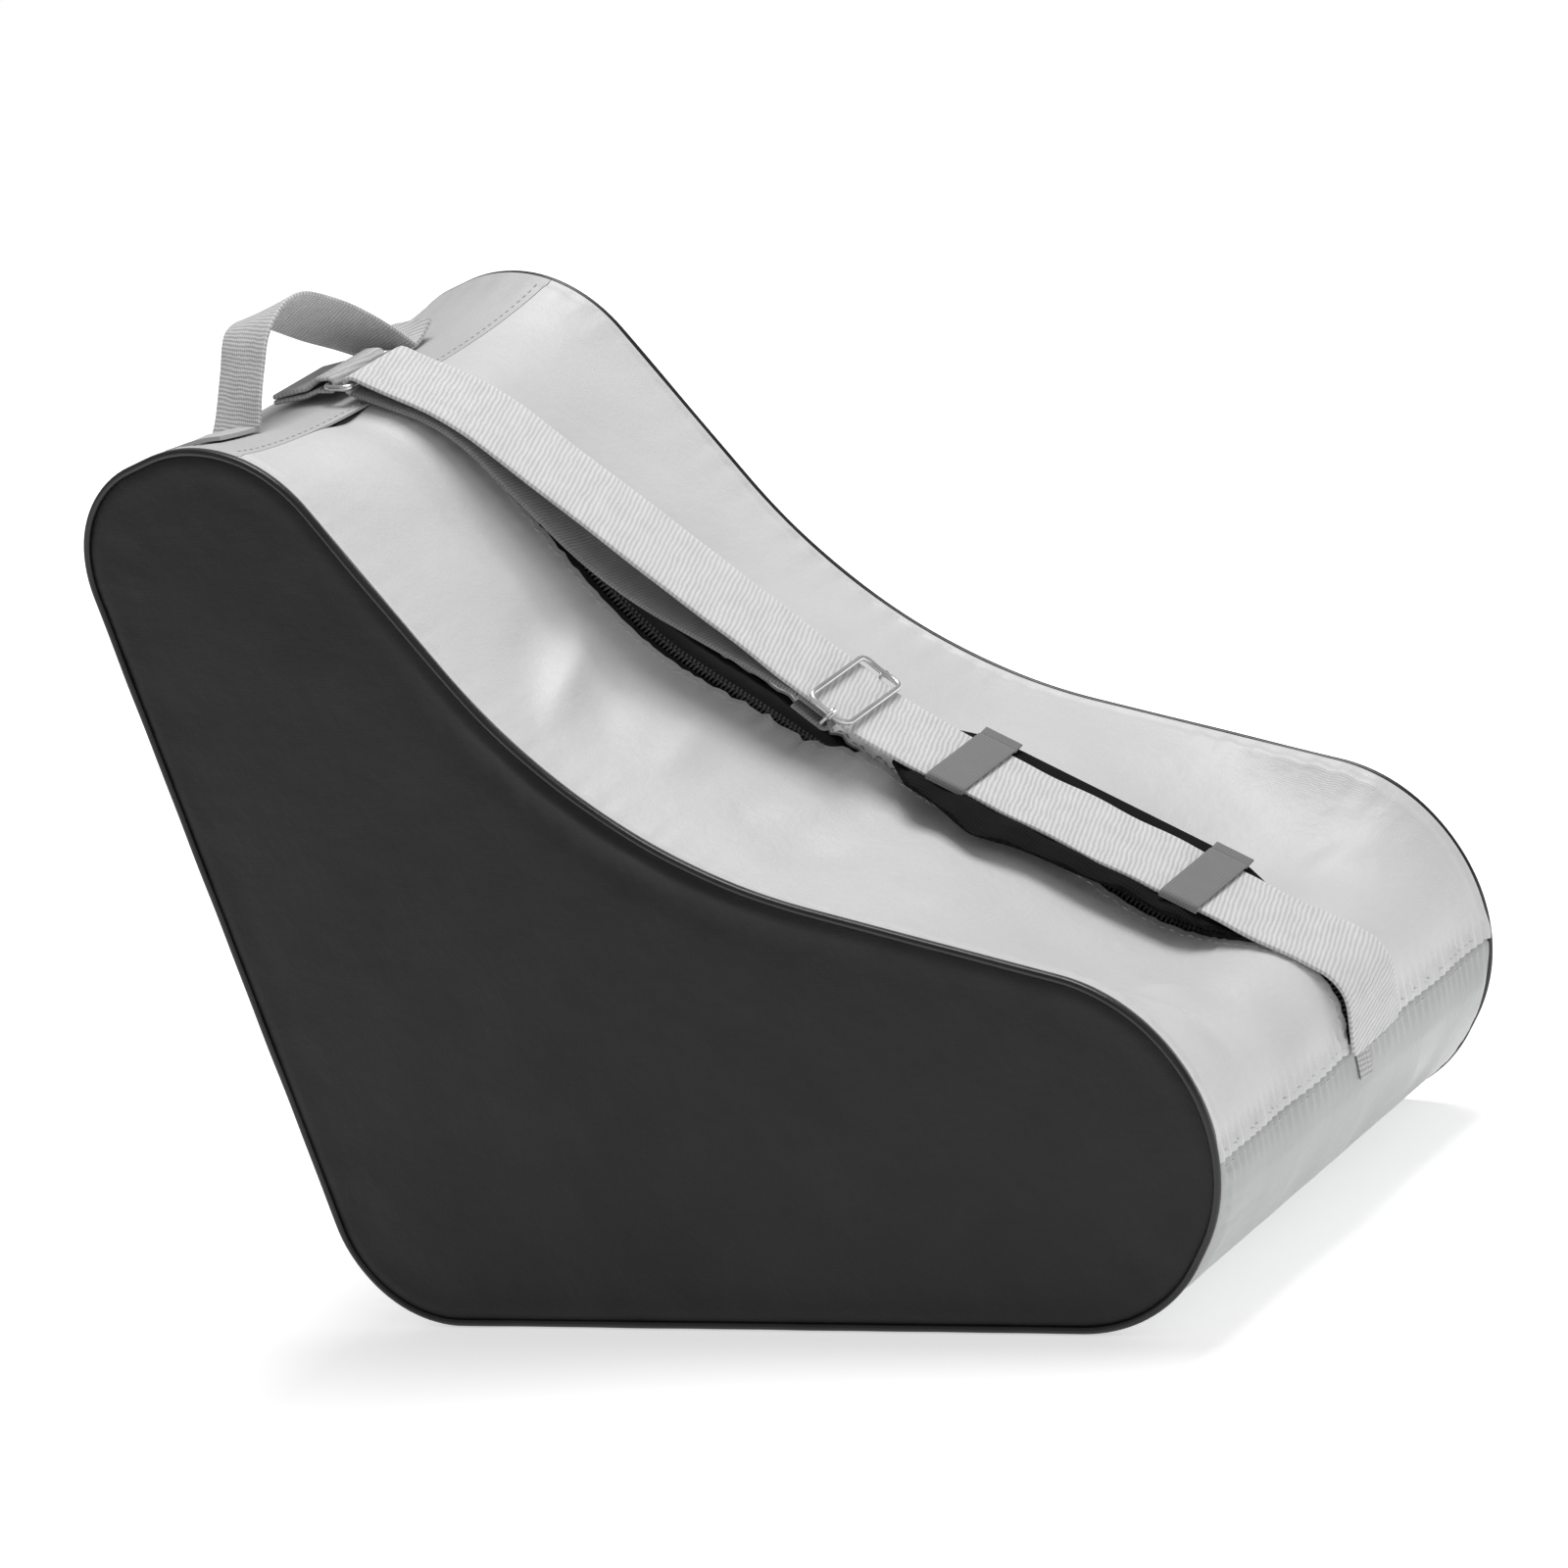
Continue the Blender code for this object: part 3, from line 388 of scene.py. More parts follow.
def mesh_of(name, vertices, faces, cloth=None, sharp=50.0):
    mesh = bpy.data.meshes.new(name)
    mesh.from_pydata(np.asarray(vertices, float).tolist(), [], faces)
    if cloth is not None:
        kept = mesh.attributes.new("cloth", "FLOAT_VECTOR", "POINT")
        flat = np.zeros((len(vertices), 3))
        flat[:, :2] = np.asarray(cloth)[:, :2]
        kept.data.foreach_set("vector", flat.ravel().astype(np.float32))
    work = bmesh.new()
    work.from_mesh(mesh)
    bmesh.ops.recalc_face_normals(work, faces=work.faces)
    work.to_mesh(mesh)
    work.free()
    mesh.shade_smooth()
    mesh.set_sharp_from_angle(angle=radians(sharp))
    mesh.update()
    return mesh


def unit(rows):
    return rows / np.linalg.norm(rows, axis=-1, keepdims=True)


def lengths_along(points):
    """The distance of each point from the first, along the line of points."""
    return np.concatenate([[0.0], np.cumsum(np.linalg.norm(np.diff(points, axis=0), axis=1))])


def ring_faces(first, rings, sides):
    """Faces of a closed form made of rings of points, its two ends included."""
    faces = [tuple(first + k for k in range(sides))[::-1]]
    for i in range(rings - 1):
        for j in range(sides):
            a, b = (first + i * sides + k for k in (j, (j + 1) % sides))
            faces.append((a, b, b + sides, a + sides))
    return faces + [tuple(first + (rings - 1) * sides + k for k in range(sides))]


def sheet_faces(rows, columns):
    """Faces of a sheet's two skins and its rim: a grid of points for each skin, one after the other."""
    size = rows * columns
    index = np.arange(size).reshape(rows, columns)
    quads = np.stack([index[:-1, :-1], index[1:, :-1], index[1:, 1:], index[:-1, 1:]], -1).reshape(-1, 4)
    faces = quads.tolist() + (quads[:, ::-1] + size).tolist()
    rim = np.concatenate([index[0, :], index[1:, -1], index[-1, -2::-1], index[-2:0:-1, 0]])
    for a, b in zip(rim, np.roll(rim, -1)):
        faces.append((int(a), int(b), int(b) + size, int(a) + size))
    return faces


def normals_of(grid):
    """Unit normals of a grid of points."""
    along = np.gradient(grid, axis=0)
    across = np.gradient(grid, axis=1)
    normal = np.cross(along, across)
    return normal / np.maximum(np.linalg.norm(normal, axis=-1, keepdims=True), 1e-12)


def slab(name, grid, thickness, cloth):
    """A closed sheet whose outer face is the grid. Its thickness goes against the grid's normals."""
    back = grid - normals_of(grid) * thickness
    vertices = np.concatenate([grid.reshape(-1, 3), back.reshape(-1, 3)])
    return mesh_of(name, vertices, sheet_faces(*grid.shape[:2]), np.concatenate([cloth.reshape(-1, 2)] * 2))


def band(name, centres, sides, normals, width, thickness, columns=12, crown=0.0, edge=None):
    """Flat webbing with round edges: a cross-section carried along a path."""
    radius = thickness / 2
    section = []
    for way in (1, -1):
        for i in range(columns + 1):
            section.append((way * (2 * i / columns - 1), way, 0.0))
        for i in range(1, 4):
            angle = way * pi / 2 - pi * i / 4
            section.append((way, sin(angle), cos(angle)))
    section = np.array(section)
    across = section[None, :, 0] * (width / 2 - radius) + section[None, :, 2] * radius
    across = np.broadcast_to(across, (len(centres), len(section)))
    up = section[None, :, 1] * radius + crown * (1 - section[None, :, 0] ** 2)
    if edge is not None:
        up = up + edge(np.arange(len(centres)), across)
    points = centres[:, None] + sides[:, None] * across[..., None] + normals[:, None] * up[..., None]
    cloth = np.stack([np.broadcast_to(lengths_along(centres)[:, None], across.shape), across], -1)
    return mesh_of(name, points.reshape(-1, 3), ring_faces(0, *across.shape), cloth.reshape(-1, 2))


def tube(name, points, radius, sides=12, closed=False):
    """A round wire along points."""
    points = np.asarray(points, float)
    count = len(points)
    ahead = unit(np.roll(points, -1, 0) - np.roll(points, 1, 0) if closed else np.gradient(points, axis=0))
    normal = Vector(ahead[0]).orthogonal().normalized()
    distances = lengths_along(points)
    rings, cloth = [], []
    for i in range(count):
        axis = Vector(ahead[i])
        normal = (normal - axis * normal.dot(axis)).normalized()
        other = axis.cross(normal)
        for j in range(sides):
            angle = 2 * pi * j / sides
            rings.append(Vector(points[i]) + (normal * cos(angle) + other * sin(angle)) * radius)
            cloth.append((distances[i], angle * radius))
    faces = ring_faces(0, count, sides)
    if closed:  # the frame comes back turned, so the last ring meets the first one where it is nearest
        last, start = np.array(rings[-sides:]), np.array(rings[:sides])
        shift = int(np.argmin([np.linalg.norm(np.roll(start, -k, 0) - last) for k in range(sides)]))
        faces = faces[1:-1]
        for j in range(sides):
            a, b = ((count - 1) * sides + k for k in (j, (j + 1) % sides))
            faces.append((a, b, (j + 1 + shift) % sides, (j + shift) % sides))
    return mesh_of(name, rings, faces, cloth)


def stitches(name, points, normals, look, body, length=0.0026, space=0.0010, radius=0.00028, slot=None):
    """A row of thread stitches that lie on a surface along a path."""
    along = lengths_along(points)
    vertices, faces, cloth = [], [], []

    def read(rows, where):
        return np.array([np.interp(where, along, rows[:, k]) for k in range(3)])

    pitch = length + space
    shape = ((-0.5, 0.35), (-0.38, 0.9), (0.0, 1.0), (0.38, 0.9), (0.5, 0.35))
    for i in range(int(along[-1] / pitch)):
        first = len(vertices)
        for share, fat in shape:
            where = (i + 0.5 + share * length / pitch) * pitch
            spot = read(points, where)
            up = unit(read(normals, where))
            side = np.cross(unit(read(points, where + 1e-4) - spot), up)
            lift = radius * (0.75 - 1.6 * (abs(share) * 2) ** 3)
            for k in range(6):
                angle = 2 * pi * k / 6
                offset = side * cos(angle) + up * sin(angle)
                vertices.append(spot + up * lift + offset * radius * fat)
                cloth.append((where, angle * radius))
        faces += ring_faces(first, len(shape), 6)
    return piece(name, mesh_of(name, vertices, faces, cloth), look, body, slot=slot)


# ---- folds of the soft gusset


def waves(seed, count, low, high):
    """A smooth random curve of a length: sum of sines, about -1 to 1."""
    random = np.random.default_rng(seed)
    pitches = random.uniform(low, high, count)
    starts = random.uniform(0, 2 * pi, count)
    sizes = random.uniform(0.5, 1.0, count)

    def curve(distance):
        total = 0.0
        for pitch, start, size in zip(pitches, starts, sizes):
            total = total + size * np.sin(2 * pi * distance / pitch + start)
        return total / sizes.sum() * 1.6

    return curve


# Soft folds: middle's distance from the toe seam and y, half length, half width, height and slant in degrees
# from straight across the bag.
FOLDS = (
    (0.3000, -0.046, 0.044, 0.0058, 0.0040, -22),
    (0.3160, -0.046, 0.040, 0.0080, -0.0022, -20),
    (0.2830, -0.046, 0.040, 0.0080, -0.0022, -24),
    (0.2560, -0.040, 0.026, 0.0060, 0.0013, -14),
    (0.2400, -0.048, 0.026, 0.0080, -0.0012, 6),
    (0.3440, -0.055, 0.034, 0.0160, 0.0014, -10),
    (0.3800, -0.050, 0.034, 0.0200, 0.0010, 8),
    (0.2100, -0.040, 0.024, 0.0080, 0.0016, 24),
    (0.1920, -0.060, 0.026, 0.0090, -0.0014, 30),
    (0.1450, -0.062, 0.022, 0.0090, 0.0012, 38),
    (0.0500, -0.071, 0.032, 0.0050, 0.0021, 84),
    (0.0370, -0.046, 0.030, 0.0120, -0.0040, 66),
    (0.0640, -0.052, 0.024, 0.0060, 0.0021, 60),
    (0.0850, -0.058, 0.024, 0.0070, -0.0012, 50),
    (0.3200, 0.055, 0.034, 0.0200, 0.0014, -12),
    (0.2500, 0.060, 0.030, 0.0180, -0.0012, 10),
    (0.1700, 0.058, 0.028, 0.0140, 0.0010, -20),
    (0.0600, 0.062, 0.022, 0.0070, 0.0014, 32),
)


def folds(distance, y):
    height = 0.0
    for middle, middle_y, length, width, size, slant in FOLDS:
        a = np.asarray(distance) - TOE_SEAM - middle
        b = np.asarray(y) - middle_y
        turn = radians(slant)
        away = a * cos(turn) + b * sin(turn)
        along = -a * sin(turn) + b * cos(turn)
        share = np.clip(np.abs(along) / length, 0, 1)
        height = height + size * np.exp(-((away / width) ** 2)) * np.cos(share * pi / 2) ** 2
    return height


zip_wave = {-1: waves(11, 5, 0.0060, 0.0120), 1: waves(12, 5, 0.0065, 0.0130)}
seam_wave = {-1: waves(13, 5, 0.0060, 0.0110), 1: waves(14, 5, 0.0070, 0.0120)}
cloud = (waves(21, 4, 0.05, 0.11), waves(22, 4, 0.04, 0.08))


def skin(distance, y):
    """Height of the real cloth over the plain dented face."""
    distance, y = np.broadcast_arrays(np.asarray(distance, float), np.asarray(y, float))
    side = np.where(y < 0, -1, 1)
    edge = GUSSET_HALF - np.abs(y)  # from the side seam
    height = folds(distance, y) * np.clip(edge / 0.020, 0, 1)
    height = height + 0.0007 * cloud[0](distance) * cloud[1](y) * np.clip(edge / 0.03, 0, 1)
    # Puckers square to the side seams
    for one in (-1, 1):
        pucker = seam_wave[one](distance) * np.exp(-edge / 0.010) * np.clip(edge / 0.0016, 0, 1)
        height = height + np.where(side == one, 0.00045 * pucker, 0.0)
    # The cloth rises to the piping and a little over it
    height = height + 0.0009 * np.exp(-np.maximum(edge, 0) / 0.0030)
    return height - 0.0003 * np.exp(-(((edge - 0.0022) / 0.0012) ** 2))


def front_skin(distance, y):
    """The same with what the zip does to the cloth beside it."""
    height = skin(distance, y)
    side = np.where(np.asarray(y) < 0, -1, 1)
    from_zip = np.abs(y) - ZIP_OPENING
    strong = 0.25 + 1.2 * bell(distance, TOE_SEAM + 0.238, 0.050, 0.050) + 0.8 * bell(
        distance, TOP_SEAM - 0.012, 0.035, 0.012
    )
    for one in (-1, 1):
        pucker = zip_wave[one](distance) * np.exp(-((from_zip / 0.0085) ** 2))
        height = height + np.where(side == one, 0.00085 * strong * pucker, 0.0)
    # The edge is folded under, so it stands a little proud
    height = height + 0.0007 * np.exp(-((from_zip / 0.0030) ** 2))
    # The near panel is hollow beside the zip where it is drawn back from it
    hollow = 0.0030 * drawn(distance) * np.exp(-(((from_zip - 0.024) / 0.013) ** 2))
    height = height - np.where(side < 0, hollow, 0.0)
    # Between the tri-glide and the pad it rises towards the strap
    raised = 0.0085 * bell(distance, TOE_SEAM + 0.2060, 0.0340, 0.0300) * np.exp(-((from_zip / 0.014) ** 2))
    height = height + np.where(side < 0, raised, 0.0)
    return height + gather(distance, y)


def gather(distance, y):
    """Short puckers square to the toe seam, on both sides of it."""
    seam = np.asarray(distance) - TOE_SEAM
    turns = 2 * pi * np.asarray(y) / 0.0043 + 1.7 * np.sin(np.asarray(y) / 0.011)
    return 0.00085 * np.sin(turns) * np.exp(-((np.abs(seam) - 0.0035) / 0.0045) ** 2)


def drawn(distance):
    """How far the near panel is drawn back from the zip, from 0 to 1."""
    up = np.clip((np.asarray(distance) - TOE_SEAM - 0.225) / 0.080, 0, 1)
    return up * up * (3 - 2 * up)


def across_steps(low, high, fine_low, fine_high, coarse=0.0028, fine=0.0008, reach=0.008):
    """Values of y from low to high, closer together next to an end that needs it."""
    values = [low]
    while values[-1] < high - 1e-9:
        here = values[-1]
        near = min(here - low if fine_low else 1, high - here if fine_high else 1)
        step = fine + (coarse - fine) * min(1.0, near / reach)
        values.append(min(high, here + step))
    if len(values) > 2 and values[-1] - values[-2] < 0.3 * fine:
        values.pop(-2)
    return np.array(values)


def cloth_piece(name, look, node, slot, start, end, ys, heights, thickness, step=0.0024, moved=None):
    """A sheet that follows the gusset from one distance to another."""
    distances = np.linspace(start, end, int((end - start) / step) + 1)
    d, y = np.meshgrid(distances, ys, indexing="ij")
    grid = surface(d, y if moved is None else moved(d, y), heights(d, y))
    mesh = slab(name, grid[::-1], thickness, np.stack([d, y], -1)[::-1])
    return piece(name, mesh, look, "bag", node, slot=slot)


# ---- gusset

edge_wave = (waves(71, 5, 0.0040, 0.0100), waves(72, 5, 0.0050, 0.0130))


def drawn_back(distance, y):
    """Where the front cloth's points lie across the bag: the zip's edges wander, the near one further off."""
    share = np.clip(1 - (np.abs(y) - ZIP_OPENING) / 0.030, 0, 1) ** 1.5
    # Under the strap the far edge is drawn back by up to 8.5 mm so the black zip tape shows: partly the open
    # zip, partly a black strip standing in for the shade under the strap (painted shade).
    open_far = bell(distance, TOE_SEAM + 0.262, 0.085, 0.130)
    near = 0.0034 * drawn(distance) + 0.0006 * edge_wave[0](distance)
    far = 0.0085 * open_far + 0.0005 * edge_wave[1](distance)
    return y - np.where(y < 0, near, -far) * share


for side, word in ((-1, "right"), (1, "left")):
    low, high = sorted((side * ZIP_OPENING, side * CLOTH_HALF))
    ys = across_steps(low, high, True, True, coarse=0.0012)
    front_cloth = cloth_piece(
        f"front_cloth_{word}", SILVER, f"front_panel_{word}", "silver_nylon", TOE_SEAM + GAP, TOP_SEAM - GAP,
        ys, front_skin, CLOTH, moved=drawn_back,
    )

ys = across_steps(-CLOTH_HALF, CLOTH_HALF, True, True)
back_cloth = cloth_piece(
    "back_cloth", CAP_PAINTED_SHADE, "back_gusset", "silver_nylon", TOP_SEAM, HEEL_SEAM + ROUND - GAP, ys, skin, CLOTH
)


def base_skin(distance, y):
    """The base cloth is flat under the bag, swells round the toe and is tucked under the front cloth."""
    edge = GUSSET_HALF - np.abs(y)
    up = np.clip((distance - RUN[SOLE_ARC] - 0.030) / 0.030, 0, 1)
    down = np.clip((TOE_SEAM - 0.002 - distance) / 0.012, 0, 1)
    swell = 0.0019 * up * down * np.clip(edge / 0.005, 0, 1) ** 0.7
    tuck = np.clip((distance - TOE_SEAM + 0.0009) / 0.0012, 0, 1)
    puckers = gather(distance, y) * (1 - tuck) * 0.35
    return np.minimum(skin(distance, y), 0.0002) + swell + puckers - 0.0011 * tuck


ys = across_steps(-CLOTH_HALF, CLOTH_HALF, True, True, coarse=0.0012)
base_cloth = cloth_piece(
    "base_cloth", BASE_CLOTH_PAINTED_SHADE, "base_gusset", "silver_nylon", HEEL_SEAM, TOE_SEAM + 0.0020, ys, base_skin,
    CLOTH, step=0.0012,
)

ys = across_steps(-DENT_HALF, DENT_HALF, False, False)
lining = cloth_piece(
    "lining_cloth", INNER, "gusset_lining", "lining_cloth", TOP_SEAM, TOE_SEAM + ROUND, ys,
    lambda d, y: np.minimum(skin(d % ROUND, y), 0) - 0.0020, 0.0007, 0.0045,
)

# ---- sides


def side_loop(inset, step):
    count = int(ROUND / step)
    distances = np.arange(count) * ROUND / count
    point, normal = OUTLINE.at(distances)
    return point - normal * inset, distances


panel_clouds = (waves(31, 4, 0.07, 0.16), waves(32, 4, 0.06, 0.14), waves(33, 5, 0.020, 0.045))


def side_panel(side, word):
    """Foam-backed side: triangles inside the outline, swelling a little and dented softly."""
    loop, distances = side_loop(PANEL_INSET - 0.0012, 0.0030)
    spacing = 0.0045
    xs = np.arange(loop[:, 0].min(), loop[:, 0].max(), spacing)
    zs = np.arange(loop[:, 1].min(), loop[:, 1].max(), spacing * 0.866)
    rows = []
    for inset in (0.0010, 0.0022, 0.0036, 0.0054, 0.0080):
        rows.append(side_loop(PANEL_INSET - 0.0012 + inset, 0.0036)[0])
    inner = side_loop(PANEL_INSET + 0.0100, 0.0040)[0]
    inside = []
    for i, z in enumerate(zs):
        for x in xs + (spacing / 2 if i % 2 else 0):
            inside.append((x, z))
    inside = np.array(inside)
    keep = points_inside(inside, inner)
    points = np.concatenate([loop, *rows, inside[keep]])
    count = len(loop)
    made = geometry.delaunay_2d_cdt(
        [Vector(p) for p in points], [], [list(range(count))], 1, 1e-7
    )
    flat = np.array([tuple(p) for p in made[0]])
    triangles = [tuple(face) for face in made[2]]
    ring, ring_at = side_loop(PANEL_INSET - 0.0012, 0.0010)
    away = np.full(len(flat), 1.0)
    station = np.zeros(len(flat))
    for start in range(0, len(flat), 400):
        part = flat[start : start + 400]
        gaps = np.linalg.norm(part[:, None] - ring[None], axis=2)
        nearest = gaps.argmin(1)
        away[start : start + 400] = gaps[np.arange(len(part)), nearest]
        station[start : start + 400] = ring_at[nearest]
    swell = -0.0011 * np.exp(-away / 0.0012) + 0.0010 * (1 - np.exp(-away / 0.030))
    valley = 0.25 + 1.0 * bell(station, VALLEY_MIDDLE, 0.120, 0.110) * (1 if side < 0 else 0.6)
    welt = 0.0010 * valley * np.exp(-(((away - 0.0045) / 0.0022) ** 2))
    welt = welt - 0.0008 * valley * np.exp(-(((away - 0.0110) / 0.0045) ** 2))
    soft = 0.0006 * panel_clouds[0](flat[:, 0] + 0.3 * flat[:, 1]) * panel_clouds[1](flat[:, 1] * side)
    pucker = 0.00035 * panel_clouds[2](station) * np.exp(-(((away - 0.010) / 0.010) ** 2))
    face = PANEL_FACE + swell + welt + (soft + pucker) * np.clip(away / 0.012, 0, 1)
    outer = np.stack([flat[:, 0], side * face, flat[:, 1]], -1)
    inner_face = np.stack([flat[:, 0], side * (face - 0.0008), flat[:, 1]], -1)
    size = len(flat)
    faces = list(triangles) + [tuple(i + size for i in face[::-1]) for face in triangles]
    edges = {}
    for face in triangles:
        for a, b in zip(face, face[1:] + face[:1]):
            edges[(a, b)] = True
    for a, b in edges:
        if (b, a) not in edges:
            faces.append((b, a, a + size, b + size))
    both = np.concatenate([outer, inner_face])
    mesh = mesh_of(f"side_cloth_{word}", both, faces, np.concatenate([flat, flat]))
    return piece(f"side_cloth_{word}", mesh, BLACK, "bag", f"side_panel_{word}", slot="black_nylon")


def points_inside(points, loop):
    """True for the points inside a closed loop."""
    inside = np.zeros(len(points), bool)
    x, z = points[:, 0], points[:, 1]
    for (x0, z0), (x1, z1) in zip(loop, np.roll(loop, -1, 0)):
        crosses = (z0 > z) != (z1 > z)
        with np.errstate(divide="ignore", invalid="ignore"):
            inside ^= crosses & (x < (x1 - x0) * (z - z0) / (z1 - z0) + x0)
    return inside


for side, word in ((-1, "right"), (1, "left")):
    panel = side_panel(side, word)
    track, at = side_loop(0.0014, 0.0028)
    wander = waves(41 + side, 4, 0.03, 0.08)(at) * 0.00018
    line = np.stack([track[:, 0], side * (HALF - PIPING_RADIUS + wander), track[:, 1]], -1)
    mesh = tube(f"piping_cord_{word}", line, 0.00125, 14, closed=True)
    piece(f"piping_cord_{word}", mesh, PIPING, "bag", f"piping_{word}", slot="piping")

# ---- zip

ZIP_START = TOE_SEAM + 0.0030
ZIP_FINISH = TOP_SEAM - 0.0030
TAPE_INSET = SKIN + 2 * GAP
for side, word in ((-1, "right"), (1, "left")):
    low, high = sorted((side * 0.0023, side * 0.0140))
    ys = np.linspace(low, high, 8)
    cloth_piece(
        f"zip_tape_cloth_{word}", TAPE, f"zip_tape_{word}", "black_tape", ZIP_START, ZIP_FINISH, ys,
        lambda d, y: np.full(d.shape, -TAPE_INSET), 0.0005, 0.004,
    )
    # A coil of loops: each turn is a short rounded bar that leans along the zip
    vertices, faces, cloth = [], [], []
    pitch = 0.0016
    first_tooth = ZIP_START + 0.0030
    for i in range(int((ZIP_FINISH - 0.0030 - first_tooth) / pitch)):
        middle = first_tooth + (i + (0.5 if side > 0 else 0.0)) * pitch
        for j in range(5):
            share = j / 4
            y = side * (-0.0005 + 0.0029 * share)
            height = 0.0001 - 0.0014 * (2 * share - 1) ** 4 * (0.6 if j == 4 else 0.35)
            centre = surface(middle + 0.0003 * share, y, height - 0.0005)
            ahead = unit(surface(middle + 0.0010, y, height - 0.0005) - centre)
            up = np.cross(ahead, (0, 1, 0))
            up *= -1 if up[2] < 0 else 1
            fat = 0.00048 * (0.7 if j in (0, 4) else 1.0)
            for k in range(6):
                angle = 2 * pi * k / 6
                vertices.append(centre + (ahead * cos(angle) + up * sin(angle)) * fat)
                cloth.append((middle, y))
        faces += ring_faces(len(vertices) - 30, 5, 6)
    mesh = mesh_of(f"zip_teeth_{word}", vertices, faces, cloth)
    piece(f"zip_teeth_{word}", mesh, COIL, "bag", f"zip_coil_{word}", slot="coil")

ys = np.linspace(-0.0012, 0.0062, 6)
cloth_piece(
    "zip_end_cloth", TAB, "zip_end_tab", "grey_webbing", TOE_SEAM - 0.0105, TOE_SEAM + 0.0006, ys,
    lambda d, y: base_skin(d, y) + CLOTH, 0.0005, 0.0012,
)

# ---- strap

BAR_HEIGHT = 0.0026 + STRAP + 0.0010 + RING_WIRE
RING_FRONT = TOP_SEAM + 0.0065
STRAP_WRAP = RING_WIRE + 0.0010 + STRAP / 2
TAB_WRAP = RING_WIRE + GAP + STRAP / 2
TAB_WIDTH, TAB_LENGTH = 0.0330, 0.0260
BARS_APART = 0.0100  # the ring's two long bars
front_bar = over(RING_FRONT, BAR_HEIGHT)
rear_bar = over(RING_FRONT + BARS_APART, BAR_HEIGHT)
crest_bend = over(CREST - 0.0500, 0.0085)
pad_bend = over(TOE_SEAM + 0.2020, 0.0172)
dent_bend = over(TOE_SEAM + 0.0590, 0.0060)
nose_bend = over(TOE_SEAM + 0.0240, 0.0075)
toe_end = over(TOE_SEAM + GAP, 0.0020)
STRAP_PLACE = Matrix.Translation((0.0280, 0.0035, 0)) @ Matrix.Rotation(radians(2.3), 4, "Z")
STRAP_PLACE = STRAP_PLACE @ Matrix.Translation((-0.0280, 0, 0))


def turned(vector, angle):
    x, y = vector
    return Vector((x * cos(angle) - y * sin(angle), x * sin(angle) + y * cos(angle)))


def placed(points, place):
    return np.asarray(points, float) @ np.array(place.to_3x3()).T + np.array(place.translation)


def flat_band(name, place, path, width, thickness, columns=10, wide="y", face=1, edge=None):
    """Webbing along a path of a local plane, its width along y or x; a face of -1 turns it over."""
    path = np.asarray([tuple(p) for p in path], float)
    ahead = unit(np.gradient(path, axis=0)) * face
    plane = [0, 2] if wide == "y" else [1, 2]
    points, normals = np.zeros((2, len(path), 3))
    points[:, plane] = path
    normals[:, plane] = np.stack([-ahead[:, 1], ahead[:, 0]], -1)
    turn = np.array(place.to_3x3())
    side = turn @ np.array((0.0, 1.0, 0.0) if wide == "y" else (1.0, 0.0, 0.0))
    sides = np.broadcast_to(side, points.shape)
    return band(name, placed(points, place), sides, normals @ turn.T, width, thickness, columns, edge=edge)


def even(points, step):
    """Points at even steps along a line of points."""
    points = np.asarray([tuple(p) for p in points], float)
    along = lengths_along(points)
    keep = np.concatenate([[True], np.diff(along) > 1e-9])
    marks = np.linspace(0, along[-1], max(3, int(along[-1] / step) + 1))
    return np.stack([np.interp(marks, along[keep], points[keep, k]) for k in range(points.shape[1])], -1)


leaving = (crest_bend - front_bar).normalized()
strap_route = Route(
    (
        (*toe_end, 0),
        (*nose_bend, 0.014),
        (*dent_bend, 0.030),
        (*pad_bend, 0.120),
        (*crest_bend, 0.100),
        (*(front_bar + turned(leaving, pi / 2) * STRAP_WRAP), 0),
    )
)
strap_line = [tuple(p) for p in strap_route.at(np.linspace(0, strap_route.length, 300))[0]]
for i in range(1, 13):
    strap_line.append(tuple(front_bar + turned(leaving, pi / 2 + pi * i / 12) * STRAP_WRAP))
strap_line = even(strap_line, 0.0016)
ripple = (waves(51, 4, 0.02, 0.06), waves(52, 3, 0.05, 0.12))


def strap_edge(i, across):
    """The strap's surface isn't quite flat: its edges lift and fall a little."""
    i = np.asarray(i)[:, None] * 0.0016
    share = across / (STRAP_WIDTH / 2)
    return 0.00025 * ripple[0](i) * share**2 + 0.0002 * ripple[1](i) * share - 0.0002 * share**6


mesh = flat_band("strap_webbing", STRAP_PLACE, strap_line, STRAP_WIDTH, STRAP, 16, face=-1, edge=strap_edge)
piece("strap_webbing", mesh, PALE, "bag", "shoulder_strap", slot="pale_webbing")

pad_down = (dent_bend - pad_bend).normalized()
strap_down = (pad_bend - crest_bend).normalized()
glide_middle = pad_bend - strap_down * 0.0180
bar_depth = STRAP / 2 + GAP + STRAP + GAP + GLIDE_WIRE
glide_wrap = GLIDE_WIRE + GAP + STRAP / 2
fold_end = glide_middle - strap_down * (0.0120 + GAP)
strap_under = turned(strap_down, -pi / 2)
return_end = fold_end + strap_under * (bar_depth - glide_wrap)
under_crest = (strap_under + turned(leaving, -pi / 2)).normalized()
bend_under = crest_bend + under_crest * (STRAP + GAP + 0.0010)
return_middle = (crest_bend + return_end) / 2 + strap_under * 0.0130
return_start = front_bar - turned(leaving, pi / 2) * STRAP_WRAP + leaving * GAP
return_route = Route(
    ((*return_end, 0), (*return_middle, 0.150), (*bend_under, 0.060), (*return_start, 0))
)
return_line = return_route.at(np.linspace(0, return_route.length, 80))[0]
mesh = flat_band("strap_lower_webbing", STRAP_PLACE, return_line, STRAP_WIDTH, STRAP, 12, face=-1)
piece("strap_lower_webbing", mesh, RETURN_PAINTED_SHADE, "bag", "strap_return", slot="pale_webbing")


